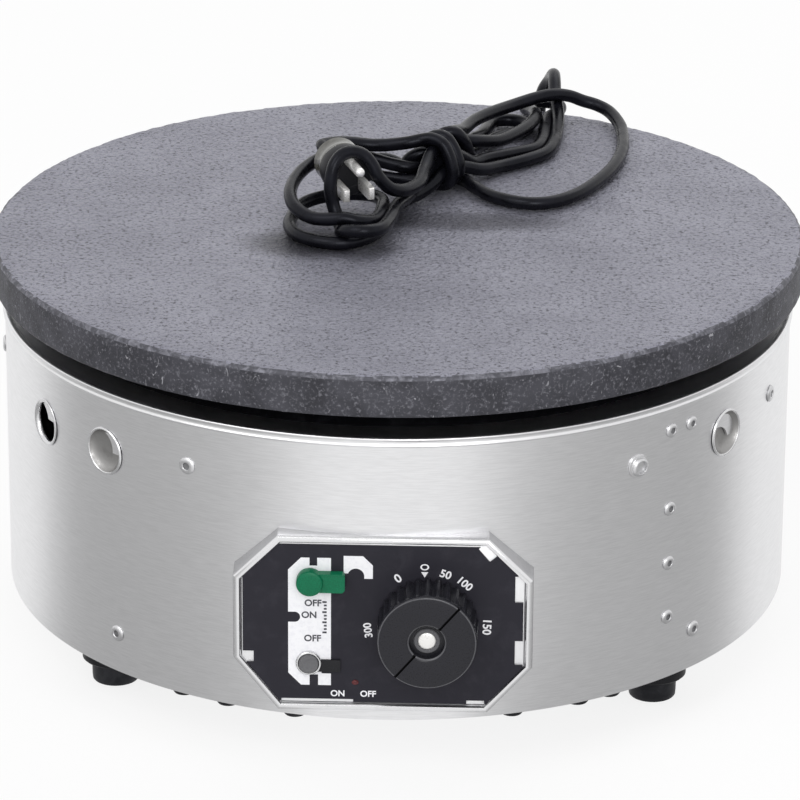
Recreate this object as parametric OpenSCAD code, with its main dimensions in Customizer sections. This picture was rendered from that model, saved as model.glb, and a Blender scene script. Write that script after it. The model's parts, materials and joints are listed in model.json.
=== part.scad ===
// Round electric crepe maker: a cast-iron griddle plate on a stainless drum with
// a thermostat panel, four rubber feet and a tied mains cord lying on the plate.
// Millimetres. +Z is up, the control panel faces -Y, and the origin is on the
// surface the feet stand on, under the drum's axis.
// Angles round the drum start at the front (-Y) and grow towards +X.

/* [Griddle plate] */
// Diameter of the cast-iron plate
plate_d = 400; // [380:1:420]
// Thickness of the plate
plate_t = 20.5; // [16:0.5:26]
// Chamfer of the plate's top and bottom edges
plate_chamfer = 1.2; // [0.5:0.1:3]
// Open gap between the drum's rim and the plate
plate_gap = 12.7; // [10:0.1:15]

/* [Drum] */
// Outer diameter of the drum
drum_d = 388.4; // [380:0.2:396]
// Height of the drum from its lower edge to its rim
drum_h = 142.5; // [140:0.5:160]
// Thickness of the drum's sheet
sheet_t = 1.2; // [1:0.1:1.6]
// Height of the folded rim bead
bead_h = 4.5; // [3:0.5:6]
// Radius of the head of a rivet
rivet_head_r = 3.7; // [3:0.1:4.5]
// Radius of the shank of a rivet
rivet_r = 2; // [1.5:0.1:2.4]
// Radius of the flange of a blanking plug or a grommet
port_flange_r = 10.3; // [9.8:0.1:11]
// Radius of the holes behind the blanking plugs and the grommet
port_r = 9; // [8.5:0.1:9.3]

/* [Feet] */
// Diameter of a rubber foot
foot_d = 24; // [22:1:28]
// Height of a foot, from the floor to the drum's lower edge
foot_h = 24; // [20:1:30]
// Distance from the drum's side in to a foot's centre
foot_inset = 22.7; // [20.5:0.1:30]
// Angle between the front and each front foot
foot_angle = 52; // [48:1:56]

/* [Control panel] */
// Width of the panel's bezel
panel_w = 140; // [136:1:144]
// Height of the panel's bezel
panel_h = 89; // [87:1:92]
// Width cut off each corner of the panel
corner_w = 20; // [18:1:22]
// Height cut off each corner of the panel
corner_h = 23; // [21:1:25]
// Height of the panel's centre over the drum's lower edge
panel_rise = 51.2; // [50:0.1:54]
// Distance from the drum's foremost line out to the black faceplate
face_rise = 2.6; // [2.4:0.1:4]
// Width of the bezel's bright rim
bezel_rim = 4; // [3:0.5:5]

/* [Thermostat knob] */
// Diameter of the knob at its base
knob_d = 47.4; // [44:0.2:49]
// Diameter of the knob at its face
knob_face_d = 46.2; // [43:0.2:47]
// Distance from the faceplate to the knob's face
knob_reach = 22.4; // [20:0.1:24]
// Distance of the knob from the panel's centre, to the right
knob_x = 21.2; // [20:0.1:22]
// Number of grip flutes round the knob
flutes = 30; // [24:1:36]
// Angle of the slit in the knob's face, clockwise from the top
slit_angle = 40; // [0:1:90]

/* [Switches] */
// Distance of both switches from the panel's centre, to the left
switch_x = 34; // [33:0.1:35]
// Height of the lever over the panel's centre, and of the button under it
switch_rise = 21.4; // [20:0.1:22]
// Diameter of the lever's hub
lever_hub_d = 12.6; // [12:0.1:13.4]
// Distance from the lever's axis to its tip
lever_reach = 16.4; // [15:0.1:17.5]
// Width of the lever's handle
lever_w = 9.4; // [8:0.1:10]
// Diameter of the button's bright ring
button_ring_d = 12.2; // [11.6:0.1:13]
// Diameter of the button
button_d = 9.3; // [8.8:0.1:9.6]
// Travel of the button
button_travel = 2; // [1:0.1:2.2]

/* [Mains cord] */
// Diameter of the cord
cord_d = 6.6; // [6.2:0.1:8]
// Height of the cable outlet over the drum's lower edge
outlet_rise = 98; // [90:1:100]
// Angle between the rear and the cable outlet
outlet_turn = 17.1; // [14:0.1:20]
// Distance from the drum's side out to the outlet's upright part
outlet_gap = 29.7; // [27:0.1:34]
// Length of the tapered bend relief
relief_l = 32; // [26:1:34]

/* [Hidden] */
$fn = 96;

// Clearances
run = 0.05;         // radial clearance of a shaft that turns or slides in a bore
clear = 0.5;        // radial clearance of a fixed piece in a plain hole
air = 0.4;          // gap between pieces that move past each other
seat = 0.05;        // gap between a round piece and the flat face it is pressed against

// Main levels and radii
drum_r = drum_d / 2;
inner_r = drum_r - sheet_t;
base_z = foot_h;
rim_z = base_z + drum_h;
plate_z = rim_z + plate_gap;
plate_top = plate_z + plate_t;
panel_z = base_z + panel_rise;
base_t = 1.5;
floor_z = base_z + base_t;
face_reach = drum_r + face_rise;
foot_reach = drum_r - foot_inset;

// Heating stack
tube_r = 4.25;
element_z = plate_z - tube_r - seat;
coil_radii = [110, 150];
coil_gap = 8;
coil_start = 240;
leg_angles = [coil_start - coil_gap, coil_start + coil_gap];
leg_r = 5;
clamp_t = 3;
clamp_z = element_z - tube_r - clamp_t;
pan_r = inner_r - 17.5;
pan_t = 1.2;
pan_z = plate_z - 29.4;
pan_lip_z = plate_z - 6.2;
leg_z = pan_z - 9.8;
pad_t = 12;
post_reach = pan_r - 12.5;
post_r = 5;
post_angles = [45, 135, 225, 315];
spigot_r = 3;
spigot_l = 8;
bolt_r = 4;
bulb_r = 3;
bulb_l = 45;
bulb_z = plate_z - bulb_r - seat;
bulb_reach = (coil_radii[0] + coil_radii[1]) / 2;
bulb_turn = -38;
bulb_way = [cos(bulb_turn + 90), sin(bulb_turn + 90)];
bulb_tip = bulb_reach * [cos(bulb_turn), sin(bulb_turn)] - bulb_l / 2 * bulb_way;
sensor_hole = bulb_tip - 7 * bulb_way;
sensor_hole_r = 3.5;
shelf_out_z = rim_z - bead_h - 1;
shelf_in_z = shelf_out_z + 3;
ring_low = rim_z - 30.5;

// Rivets, plugs and screws round the drum
ring_rivet_rise = drum_h - 25.5;
ring_rivet_angles = [-30, 69, 112, 140, 190, 230, 275];
base_rivet_rise = 20;
base_rivet_angles = [-43, 47, 137, 223];
seam_angle = 42;
seam_top = drum_h - 15.5;
seam_rivet_places = [[42, seam_top], [46, seam_top], [42, 88], [42, 60], [42, 32]];
bonding_place = [36, drum_h - 27.5];
plug_places = [[-45, drum_h - 29.5], [54, drum_h - 33]];
port_place = [-61, drum_h - 32.5];
base_screw_reach = inner_r - 7;
base_screw_angles = [-34, -27, -16, 18, 27, 34, 100, 146, 180, 214, 260];
foot_angles = [foot_angle, 180 - foot_angle, 180 + foot_angle, -foot_angle];
foot_plate_r = foot_d / 2 + 3.5;
foot_plate_t = 1.5;
foot_bolt_r = 2.5;

// Control panel
backing_t = 1.2;
film_t = 0.8;
backing_reach = face_reach - film_t;
bezel_reach = face_reach + 2.2;
works_front = backing_reach - backing_t;
works_depth = 28;
works_back = works_front - works_depth;
window_w = panel_w - 32;
window_h = panel_h - 19;
opening_w = panel_w - 2 * bezel_rim;
opening_h = panel_h - 2 * bezel_rim;
opening_cw = corner_w - 0.75 * bezel_rim;
opening_ch = corner_h - 0.5 * bezel_rim;
bushing_r = 5;
nut_t = 1.8;
shaft_r = 3;
cap_r = 4.3;
pin_r = 2.5;
stem_r = 2;
lever_z = panel_z + switch_rise;
button_z = panel_z - switch_rise;
button_low = button_travel + 0.6 - film_t - backing_t;
button_rise = button_travel + 1;
stem_l = 12;
lamp_r = 1.3;
lamp_x = -13;
lamp_z = panel_z - 31.7;

// Electrical parts inside
block_xy = [50, 118];
block_size = [54, 20, 16];
screw_gap = 17;
wire_d = 3;
wire_rise = 10;

// Mains outlet and cord
outlet_way = [sin(outlet_turn), cos(outlet_turn)];
outlet_reach = drum_r + outlet_gap;
outlet_xy = outlet_reach * outlet_way;
outlet_angle = 180 - outlet_turn;
outlet_z = base_z + outlet_rise;
elbow_r = 9.5;
elbow_top = outlet_z + 20;
outlet_nut_t = 9;
relief_z = elbow_top + outlet_nut_t;
relief_top = relief_z + relief_l;
lead_points = [
    at(outlet_xy, relief_top), at(outlet_xy, plate_top - 6), [67.5, 212.5, plate_top + 1],
    [71, 208, plate_top + 8], [73, 201, plate_top + 14], [73.6, 193, plate_top + 17.5],
    [74, 184, plate_top + 16], [74.3, 175, plate_top + 11], [74.6, 165, plate_top + 6],
    [74.8, 156, plate_top + 5]
];
tie_xy = [18, 64];
tie_angle = 54;
neck_w = 24;
neck_h = 18;
neck_left = 48;
neck_right = 24;
tie_t = 3;
tie_l = 13;
hank_h = 14;
hank_outline = [
    [38, 100, 10], [56, 157, 10], [92, 163, 14], [99, 130, 12], [68, 38, 10], [46, 66, 8]
];
coil_xy = [-28, 2];
coil_r = 31;
coil_hole_r = 12;
plug_tail = [-37, 40];
plug_turn = 20;
plug_r = 12.5;
plug_l = 36;
plug_z = plate_top + hank_h + plug_r;
tail_points = [
    [-37, 40, plug_z], [-40, 50, plug_z], [-35, 62, plug_z - 2], [-22, 68, plug_z - 6],
    [-6, 67, plug_z - 10], [4, 60, plug_z - 12]
];

// ---------- shared shapes ----------

// Puts children on the drum's side at an angle and height, with +Z pointing outwards.
module outward(angle, z, reach) {
    rotate([0, 0, angle])
        translate([0, -reach, z])
            rotate([90, 0, 0])
                children();
}

// Puts children on the front at a place on the panel, with +Z pointing to the front.
module on_panel(x, z, reach) {
    translate([x, -reach, z])
        rotate([90, 0, 0])
            children();
}

// Octagon with cut corners, centred on the panel.
module octagon(w, h, cw, ch) {
    polygon([
        [-w / 2 + cw, h / 2], [w / 2 - cw, h / 2], [w / 2, h / 2 - ch], [w / 2, -h / 2 + ch],
        [w / 2 - cw, -h / 2], [-w / 2 + cw, -h / 2], [-w / 2, -h / 2 + ch], [-w / 2, h / 2 - ch]
    ]);
}

// Low dome with a flat underside.
module dome(r, h) {
    ball_r = (r * r + h * h) / (2 * h);
    intersection() {
        translate([0, 0, h - ball_r]) sphere(r = ball_r);
        cylinder(r = r + 1, h = h + 1);
    }
}

// Rivet with a domed head outside the wall and a tail seated on its hollow side.
module rivet(grip) {
    shank_l = grip + seat;
    dome(rivet_head_r, 1.6);
    translate([0, 0, -shank_l]) cylinder(r = rivet_r, h = shank_l);
    translate([0, 0, -shank_l - 1]) cylinder(r = rivet_r + 0.8, h = 1);
}

// Shank of a rivet or screw, drawn through everything in its wall.
module shank_hole(r) {
    translate([0, 0, -12]) cylinder(r = r, h = 20);
}

// Holes for the rivets that hold the support ring.
module ring_rivet_holes() {
    for (a = ring_rivet_angles)
        outward(a, base_z + ring_rivet_rise, inner_r) shank_hole(rivet_r);
}

// Holes for the rivets that hold the base ring.
module base_rivet_holes() {
    for (a = base_rivet_angles)
        outward(a, base_z + base_rivet_rise, inner_r) shank_hole(rivet_r);
}

// Holes for the rivets along the joint of the drum's sheet.
module seam_rivet_holes() {
    for (p = seam_rivet_places)
        outward(p[0], base_z + p[1], inner_r) shank_hole(rivet_r);
}

// Holes for the bonding screw, the blanking plugs and the grommet.
module port_holes() {
    outward(bonding_place[0], base_z + bonding_place[1], inner_r) shank_hole(rivet_r);
    for (p = concat(plug_places, [port_place]))
        outward(p[0], base_z + p[1], inner_r) shank_hole(port_r + run);
}

// Window in the drum for what stands behind the panel.
module panel_window() {
    translate([-window_w / 2, -drum_r - 2, panel_z - window_h / 2])
        cube([window_w, 24, window_h]);
}

// Ring of rectangular section.
module ring(r_in, r_out, z, h) {
    rotate_extrude() translate([r_in, z]) square([r_out - r_in, h]);
}

// Hexagon nut or bolt head, across its corners.
module hexagon(r, h) {
    cylinder(r = r, h = h, $fn = 6);
}

function unit(v) = v / norm(v);

// Point over a place in plan.
function at(xy, z) = [xy[0], xy[1], z];

// Point between p[i] and p[i + 1] on a smooth curve through all the points.
function curve_at(p, i, t) =
    let (
        a = p[max(i - 1, 0)],
        b = p[i],
        c = p[i + 1],
        d = p[min(i + 2, len(p) - 1)]
    )
    0.5 * (2 * b + (c - a) * t + (2 * a - 5 * b + 4 * c - d) * t * t
        + (3 * b - a - 3 * c + d) * t * t * t);

function curve(p, steps) = concat(
    [for (i = [0 : len(p) - 2], s = [0 : steps - 1]) curve_at(p, i, s / steps)],
    [p[len(p) - 1]]
);

// Round tube along a smooth curve; side is any direction the curve never runs along.
module tube(points, d, steps, side, sides = 8) {
    path = curve(points, steps);
    last = len(path) - 1;
    ways = [for (i = [0 : last]) unit(path[min(i + 1, last)] - path[max(i - 1, 0)])];
    verts = [
        for (i = [0 : last], k = [0 : sides - 1])
            let (
                u = unit(cross(ways[i], side)),
                v = cross(ways[i], u),
                a = 360 * k / sides
            )
            path[i] + d / 2 * (cos(a) * u + sin(a) * v)
    ];
    walls = [
        for (i = [0 : last - 1], k = [0 : sides - 1])
            let (j = (k + 1) % sides)
            [i * sides + k, (i + 1) * sides + k, (i + 1) * sides + j, i * sides + j]
    ];
    start_cap = [for (k = [0 : sides - 1]) k];
    end_cap = [for (k = [sides - 1 : -1 : 0]) last * sides + k];
    polyhedron(verts, concat(walls, [start_cap, end_cap]));
}

// ---------- griddle and heating ----------

module griddle_plate() {
    r = plate_d / 2;
    c = plate_chamfer;
    color("dimgray") difference() {
        rotate_extrude(convexity = 4, $fn = 180)
            polygon([
                [0, plate_z], [r - c, plate_z], [r, plate_z + c],
                [r, plate_top - c], [r - c, plate_top], [0, plate_top]
            ]);
        for (a = post_angles)
            spigot_hole(a);
        translate([0, 0, plate_z - 1]) cylinder(r = bolt_r, h = spigot_l + 1);
    }
}

// Blind hole in the plate's underside for a post's spigot.
module spigot_hole(a) {
    rotate([0, 0, a])
        translate([0, -post_reach, plate_z - 1])
            cylinder(r = spigot_r, h = spigot_l + 1);
}

// Two tubular rings, each open where its two straight ends turn down.
module heating_element() {
    color("saddlebrown")
        for (r = coil_radii) {
            translate([0, 0, element_z])
                rotate([0, 0, coil_start + coil_gap])
                    rotate_extrude(angle = 360 - 2 * coil_gap)
                        translate([r, 0]) circle(r = tube_r, $fn = 32);
            for (a = leg_angles)
                rotate([0, 0, a])
                    translate([r, 0, leg_z]) cylinder(r = leg_r, h = element_z - leg_z + 3, $fn = 32);
        }
}

module element_clamp() {
    arm_l = 158;
    arm_w = 20;
    hub_r = 26;
    arm_angles = [0, 60, 120, 180, 210, 270, 300];
    color("gray") difference() {
        union() {
            for (a = arm_angles)
                rotate([0, 0, a])
                    translate([0, -arm_w / 2, clamp_z]) cube([arm_l, arm_w, clamp_t]);
            translate([0, 0, clamp_z]) cylinder(r = hub_r, h = plate_z - clamp_z);
        }
        translate([0, 0, clamp_z - 1]) cylinder(r = bolt_r + 0.3, h = plate_z);
    }
}

module clamp_bolt() {
    head_t = 4.4;
    color("silver") {
        translate([0, 0, clamp_z - head_t]) hexagon(7.5, head_t);
        translate([0, 0, clamp_z]) cylinder(r = bolt_r, h = plate_z - clamp_z + spigot_l);
    }
}

// Holes for the posts, the elements' ends and the sensor's tube.
module stack_holes(z, h) {
    for (a = post_angles)
        rotate([0, 0, a])
            translate([0, -post_reach, z]) cylinder(r = post_r + clear, h = h);
    for (r = coil_radii, a = leg_angles)
        rotate([0, 0, a])
            translate([r, 0, z]) cylinder(r = leg_r + clear, h = h);
    translate([sensor_hole[0], sensor_hole[1], z]) cylinder(r = sensor_hole_r, h = h);
}

module insulation_pad() {
    z = pan_z + pan_t;
    color("beige") difference() {
        translate([0, 0, z]) cylinder(r = pan_r - pan_t, h = pad_t);
        stack_holes(z - 1, pad_t + 2);
    }
}

module heat_shield() {
    color("black") difference() {
        union() {
            translate([0, 0, pan_z]) cylinder(r = pan_r, h = pan_t);
            ring(pan_r - pan_t, pan_r, pan_z, pan_lip_z - pan_z);
        }
        stack_holes(pan_z - 1, pan_t + 2);
    }
}

module support_ring() {
    t = 1.5;
    color("lightgray") difference() {
        rotate_extrude(convexity = 4)
            polygon([
                [inner_r - sheet_t, ring_low], [inner_r, ring_low], [inner_r, shelf_out_z + t],
                [pan_r, shelf_in_z + t], [pan_r, shelf_in_z], [inner_r - sheet_t, shelf_out_z]
            ]);
        ring_rivet_holes();
        seam_rivet_holes();
        port_holes();
    }
}

module support_posts() {
    color("silver")
        for (a = post_angles)
            rotate([0, 0, a])
                translate([0, -post_reach, 0]) {
                    translate([0, 0, floor_z]) cylinder(r = post_r, h = plate_z - floor_z);
                    translate([0, 0, plate_z]) cylinder(r = spigot_r, h = spigot_l);
                }
}

module post_nuts() {
    nut_t = 4;
    color("silver")
        for (a = post_angles)
            rotate([0, 0, a])
                translate([0, -post_reach, pan_z - nut_t]) difference() {
                    hexagon(9, nut_t);
                    translate([0, 0, -1]) cylinder(r = post_r, h = nut_t + 2);
                }
}

// ---------- drum ----------

module drum_shell() {
    shell_h = drum_h - 0.5;
    color("silver") difference() {
        ring(inner_r, drum_r, base_z, shell_h);
        panel_window();
        ring_rivet_holes();
        base_rivet_holes();
        seam_rivet_holes();
        port_holes();
        outward(outlet_angle, outlet_z, inner_r) shank_hole(elbow_r - 1.5 + run);
    }
}

// Folded trim over the drum's top edge.
module rim_bead() {
    t = 1.1;
    top = rim_z + 0.8;
    shell_top = rim_z - 0.5;
    low = rim_z - bead_h + 0.8;
    color("white") rotate_extrude(convexity = 4)
        polygon([
            [drum_r, low], [drum_r + t, low], [drum_r + t, top - 0.8], [drum_r + t - 0.8, top],
            [inner_r - t + 0.6, top], [inner_r - t, top - 0.6], [inner_r - t, low + 1],
            [inner_r, low + 1], [inner_r, shell_top], [drum_r, shell_top]
        ]);
}

// Strip inside the drum that the two ends of the sheet are riveted to.
module seam_strip() {
    half_turn = 5;
    low = base_z + 28;
    high = ring_low - 1;
    color("silver") difference() {
        rotate([0, 0, -90 + seam_angle + 2 - half_turn])
            rotate_extrude(angle = 2 * half_turn)
                translate([inner_r - sheet_t, low]) square([sheet_t, high - low]);
        seam_rivet_holes();
    }
}

module seam_rivets() {
    color("gainsboro")
        for (p = seam_rivet_places)
            outward(p[0], base_z + p[1], drum_r) rivet(2 * sheet_t);
}

module ring_rivets() {
    color("gainsboro")
        for (a = ring_rivet_angles)
            outward(a, base_z + ring_rivet_rise, drum_r) rivet(2 * sheet_t);
}

module base_rivets() {
    color("gainsboro")
        for (a = base_rivet_angles)
            outward(a, base_z + base_rivet_rise, drum_r) rivet(2 * sheet_t);
}

// Slotted screw for an equal-potential wire, with its washer.
module bonding_screw() {
    head_r = 3.9;
    slot_w = 0.8;
    color("gainsboro")
        outward(bonding_place[0], base_z + bonding_place[1], drum_r) {
            cylinder(r = 4.9, h = 0.8);
            translate([0, 0, 0.8]) difference() {
                dome(head_r, 2);
                translate([-head_r, -slot_w / 2, 1]) cube([2 * head_r, slot_w, 2]);
            }
            translate([0, 0, -8]) cylinder(r = rivet_r, h = 8);
        }
}

module blanking_plugs() {
    color("darkgray")
        for (p = plug_places)
            outward(p[0], base_z + p[1], drum_r)
                rotate_extrude(convexity = 4)
                    polygon([
                        [0, -1.6], [port_r - 4, -1.4], [port_r - 1.6, 0], [port_r - 1, 1],
                        [port_flange_r - 0.4, 1], [port_flange_r, 0.6], [port_flange_r, 0],
                        [port_r, 0], [port_r, -4], [port_r - 1, -4], [port_r - 1, -1],
                        [port_r - 2, -2], [port_r - 5, -2.6], [0, -2.8]
                    ]);
}

module port_grommet() {
    bore_r = port_r - 1.6;
    color("gainsboro")
        outward(port_place[0], base_z + port_place[1], drum_r)
            rotate_extrude(convexity = 4)
                polygon([
                    [bore_r, 0.6], [bore_r + 0.6, 1.2], [port_flange_r - 0.6, 1.2],
                    [port_flange_r, 0.6], [port_flange_r, 0], [port_r, 0], [port_r, -3.5],
                    [bore_r, -3.5]
                ]);
}

// ---------- base and feet ----------

module base_plate() {
    slot_w = 5;
    slot_l = 42;
    color("silver") difference() {
        translate([0, 0, base_z]) cylinder(r = inner_r, h = base_t);
        for (a = [0 : 30 : 330])
            rotate([0, 0, a]) {
                translate([80, -slot_w / 2, base_z - 1]) cube([slot_l, slot_w, base_t + 2]);
                for (x = [80, 80 + slot_l])
                    translate([x, 0, base_z - 1]) cylinder(r = slot_w / 2, h = base_t + 2);
            }
        for (a = foot_angles)
            rotate([0, 0, a])
                translate([0, -foot_reach, base_z - 1])
                    cylinder(r = foot_bolt_r + run, h = base_t + 2);
        for (a = base_screw_angles)
            rotate([0, 0, a])
                translate([0, -base_screw_reach, base_z - 1]) cylinder(r = rivet_r, h = base_t + 2);
    }
}

// Steel angle ring inside the drum's lower edge.
module base_ring() {
    color("silver") difference() {
        union() {
            ring(inner_r - sheet_t, inner_r, floor_z, 26);
            ring(inner_r - 13, inner_r, floor_z, sheet_t);
        }
        panel_window();
        base_rivet_holes();
        for (a = base_screw_angles)
            rotate([0, 0, a])
                translate([0, -base_screw_reach, base_z - 1]) cylinder(r = rivet_r, h = 6);
    }
}

module base_screws() {
    head_t = 1.7;
    color("black")
        for (a = base_screw_angles)
            rotate([0, 0, a])
                translate([0, -base_screw_reach, base_z]) {
                    translate([0, 0, -head_t]) cylinder(r = 5.5, h = head_t);
                    cylinder(r = rivet_r, h = 8);
                }
}

module foot_plates() {
    color("black")
        for (a = foot_angles)
            rotate([0, 0, a])
                translate([0, -foot_reach, base_z - foot_plate_t]) difference() {
                    cylinder(r = foot_plate_r, h = foot_plate_t);
                    translate([0, 0, -1]) cylinder(r = foot_bolt_r, h = foot_plate_t + 2);
                }
}

module rubber_feet() {
    h = foot_h - foot_plate_t;
    r = foot_d / 2;
    color("black")
        for (a = foot_angles)
            rotate([0, 0, a])
                translate([0, -foot_reach, 0])
                    rotate_extrude()
                        polygon([
                            [5, 0], [r - 1.5, 0], [r - 0.5, 1], [r, h], [foot_bolt_r, h],
                            [foot_bolt_r, 8], [5, 8]
                        ]);
}

module foot_bolts() {
    nut_t = 4;
    color("silver")
        for (a = foot_angles)
            rotate([0, 0, a])
                translate([0, -foot_reach, 0]) {
                    translate([0, 0, 4.5]) cylinder(r = 4.6, h = 3.5);
                    translate([0, 0, 8]) cylinder(r = foot_bolt_r, h = floor_z - 8);
                    translate([0, 0, floor_z]) hexagon(4.6, nut_t);
                }
}

// ---------- control panel ----------

// Raised bright frame that is shaped to the drum behind it.
module panel_bezel() {
    depth = 30;
    color("white") difference() {
        union() {
            on_panel(0, panel_z, bezel_reach - 2) translate([0, 0, -depth])
                linear_extrude(depth) octagon(panel_w, panel_h, corner_w, corner_h);
            on_panel(0, panel_z, bezel_reach - 2)
                linear_extrude(2) octagon(panel_w - 3, panel_h - 3, corner_w - 1, corner_h - 1);
        }
        on_panel(0, panel_z, bezel_reach + 1) translate([0, 0, -depth - 10])
            linear_extrude(depth + 12)
                octagon(opening_w, opening_h, opening_cw, opening_ch);
        cylinder(r = drum_r, h = rim_z);
    }
}

module panel_holes() {
    on_panel(knob_x, panel_z, backing_reach - 5) cylinder(r = bushing_r + run, h = 12);
    on_panel(-switch_x, lever_z, backing_reach - 5) cylinder(r = pin_r + clear, h = 12);
    on_panel(-switch_x, button_z, backing_reach - 5)
        cylinder(r = button_d / 2 + run, h = 12);
    on_panel(lamp_x, lamp_z, backing_reach - 5) cylinder(r = lamp_r, h = 12);
}

module panel_backing() {
    color("gainsboro") difference() {
        on_panel(0, panel_z, backing_reach) translate([0, 0, -backing_t])
            linear_extrude(backing_t) octagon(opening_w, opening_h, opening_cw, opening_ch);
        panel_holes();
    }
}

// Black plate; its cut-outs show the bright backing at the panel's edges.
module faceplate() {
    w = opening_w - 1;
    h = opening_h - 1;
    color("black") difference() {
        on_panel(0, panel_z, backing_reach) linear_extrude(film_t) difference() {
            octagon(w, h, opening_cw, opening_ch);
            translate([w / 2 - 16.5, h / 2 - 6]) rotate([0, 0, -48]) square([8, 8]);
            translate([w / 2 - 3, 8]) square([4, 12.5]);
            translate([w / 2 - 3, -23]) square([4, 12.5]);
            translate([-w / 2 + 1.5, -h / 2 + 17]) square([3.5, 6]);
            translate([-w / 2 + 20, -h / 2 - 1]) square([32, 2.4]);
            translate([w / 2 - 27, -h / 2 - 1]) square([8, 2.4]);
        }
        panel_holes();
    }
}

module thermostat_body() {
    w = 40;
    h = 36;
    color("lightyellow") difference() {
        union() {
            translate([knob_x - w / 2, -works_front, panel_z - h / 2])
                cube([w, works_depth, h]);
            on_panel(knob_x, panel_z, works_front)
                cylinder(r = bushing_r, h = face_reach - works_front + nut_t);
        }
        on_panel(knob_x, panel_z, works_front - 16) cylinder(r = shaft_r + run, h = 30);
    }
}

module thermostat_nut() {
    color("goldenrod")
        on_panel(knob_x, panel_z, face_reach) difference() {
            hexagon(8, nut_t);
            translate([0, 0, -1]) cylinder(r = bushing_r, h = nut_t + 2);
        }
}

module thermostat_shaft() {
    color("silver")
        on_panel(knob_x, panel_z, face_reach) translate([0, 0, -16])
            cylinder(r = shaft_r, h = 16 + knob_reach - 5);
}

module thermostat_knob() {
    flute_r = 1.7;
    face_h = 2.6;
    hub_r = 7.7;
    collar_r = 6.2;
    color("black")
        on_panel(knob_x, panel_z, face_reach) difference() {
            translate([0, 0, air])
                cylinder(r1 = knob_d / 2, r2 = knob_face_d / 2, h = knob_reach - air);
            for (k = [0 : flutes - 1])
                rotate([0, 0, 360 * k / flutes])
                    translate([knob_d / 2 + 0.7, 0, -1])
                        cylinder(r = flute_r, h = knob_reach - face_h + 1, $fn = 16);
            translate([0, 0, -1]) cylinder(r = 9.5, h = nut_t + 2.2);
            translate([0, 0, 2]) cylinder(r = shaft_r, h = knob_reach - 7);
            translate([0, 0, knob_reach - 3]) difference() {
                cylinder(r = hub_r, h = 4);
                translate([0, 0, -1]) cylinder(r = collar_r, h = 6);
            }
            translate([0, 0, knob_reach - 2.5]) cylinder(r = cap_r + run, h = 4);
            rotate([0, 0, -slit_angle]) translate([-0.5, -knob_d / 2, knob_reach - 0.8])
                cube([1, knob_d, 2]);
        }
}

module knob_cap() {
    color("white")
        on_panel(knob_x, panel_z, face_reach + knob_reach - 2.5) {
            cylinder(r = cap_r, h = 2);
            translate([0, 0, 2]) dome(cap_r, 0.7);
        }
}

// Liquid-filled bulb under the plate and its thin tube down to the thermostat.
module sensor_bulb() {
    tube_d = 2;
    color("peru") {
        translate(at(bulb_tip, bulb_z)) rotate([0, 0, bulb_turn + 90]) rotate([0, 90, 0])
            cylinder(r = bulb_r, h = bulb_l, $fn = 32);
        tube([
            at(bulb_tip + 3 * bulb_way, bulb_z), at(bulb_tip - 3 * bulb_way, bulb_z - 2),
            at(sensor_hole, pan_z + 14), at(sensor_hole, pan_z), [70, -126, pan_z - 28],
            [44, 9 - works_back, pan_z - 46], [31, -9 - works_back, panel_z + 18]
        ], tube_d, 4, [1, 0.2, 0]);
    }
}

module switch_body() {
    w = 22;
    color("white") difference() {
        translate([-switch_x - w / 2, -works_front, lever_z - w / 2])
            cube([w, works_depth, w]);
        on_panel(-switch_x, lever_z, works_front - 9) cylinder(r = pin_r + run, h = 12);
    }
}

module power_lever() {
    hub_r = lever_hub_d / 2;
    corner_r = 2.5;
    hub_t = 6;
    tab_t = 4.4;
    color("seagreen")
        on_panel(-switch_x, lever_z, face_reach) {
            translate([0, 0, air]) cylinder(r = hub_r, h = hub_t);
            translate([0, 0, air]) difference() {
                union() {
                    translate([0, -lever_w / 2, 0])
                        cube([lever_reach - corner_r, lever_w, tab_t]);
                    translate([0, -lever_w / 2 + corner_r, 0])
                        cube([lever_reach, lever_w - 2 * corner_r, tab_t]);
                    for (y = [-1, 1])
                        translate([lever_reach - corner_r, y * (lever_w / 2 - corner_r), 0])
                            cylinder(r = corner_r, h = tab_t, $fn = 32);
                }
                translate([0, 0, -1]) cylinder(r = hub_r - 1, h = tab_t + 2);
            }
            translate([0, 0, -10]) cylinder(r = pin_r, h = 10 + air);
        }
}

module button_ring() {
    color("gainsboro")
        on_panel(-switch_x, button_z, face_reach)
            rotate_extrude()
                polygon([
                    [button_d / 2 + run, 0], [button_ring_d / 2, 0], [button_ring_d / 2, 1.4],
                    [button_ring_d / 2 - 0.6, 2], [button_d / 2 + run, 2]
                ]);
}

// Plain dark tab of the button's mounting washer.
module button_tag() {
    color("black") difference() {
        on_panel(-switch_x, button_z, face_reach)
            translate([0, -3, 0]) cube([14.8, 6, 1.2]);
        on_panel(-switch_x, button_z, face_reach - 1) cylinder(r = button_ring_d / 2, h = 4);
    }
}

module push_button() {
    color("gray")
        on_panel(-switch_x, button_z, face_reach) {
            difference() {
                translate([0, 0, button_low])
                    cylinder(r = button_d / 2, h = button_rise - button_low);
                translate([0, 0, button_rise + 29.6]) sphere(r = 30);
            }
            translate([0, 0, -stem_l]) cylinder(r = stem_r, h = stem_l + button_low + 0.1);
        }
}

// Safety cut-out behind the button.
module cutout_body() {
    h = 22;
    bore_l = stem_l + button_travel + 1.5 - film_t - backing_t;
    color("white")
        on_panel(-switch_x, button_z, works_front) translate([0, 0, -h]) difference() {
            cylinder(r = 9, h = h);
            translate([0, 0, h - bore_l]) cylinder(r = stem_r + run, h = bore_l + 1);
        }
}

module heating_lamp() {
    color("darkred")
        on_panel(lamp_x, lamp_z, backing_reach - 4) {
            cylinder(r = lamp_r, h = 4 + film_t);
            translate([0, 0, 4 + film_t]) dome(lamp_r + 0.3, 0.9);
        }
}

// ---------- electrical parts inside ----------

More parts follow.
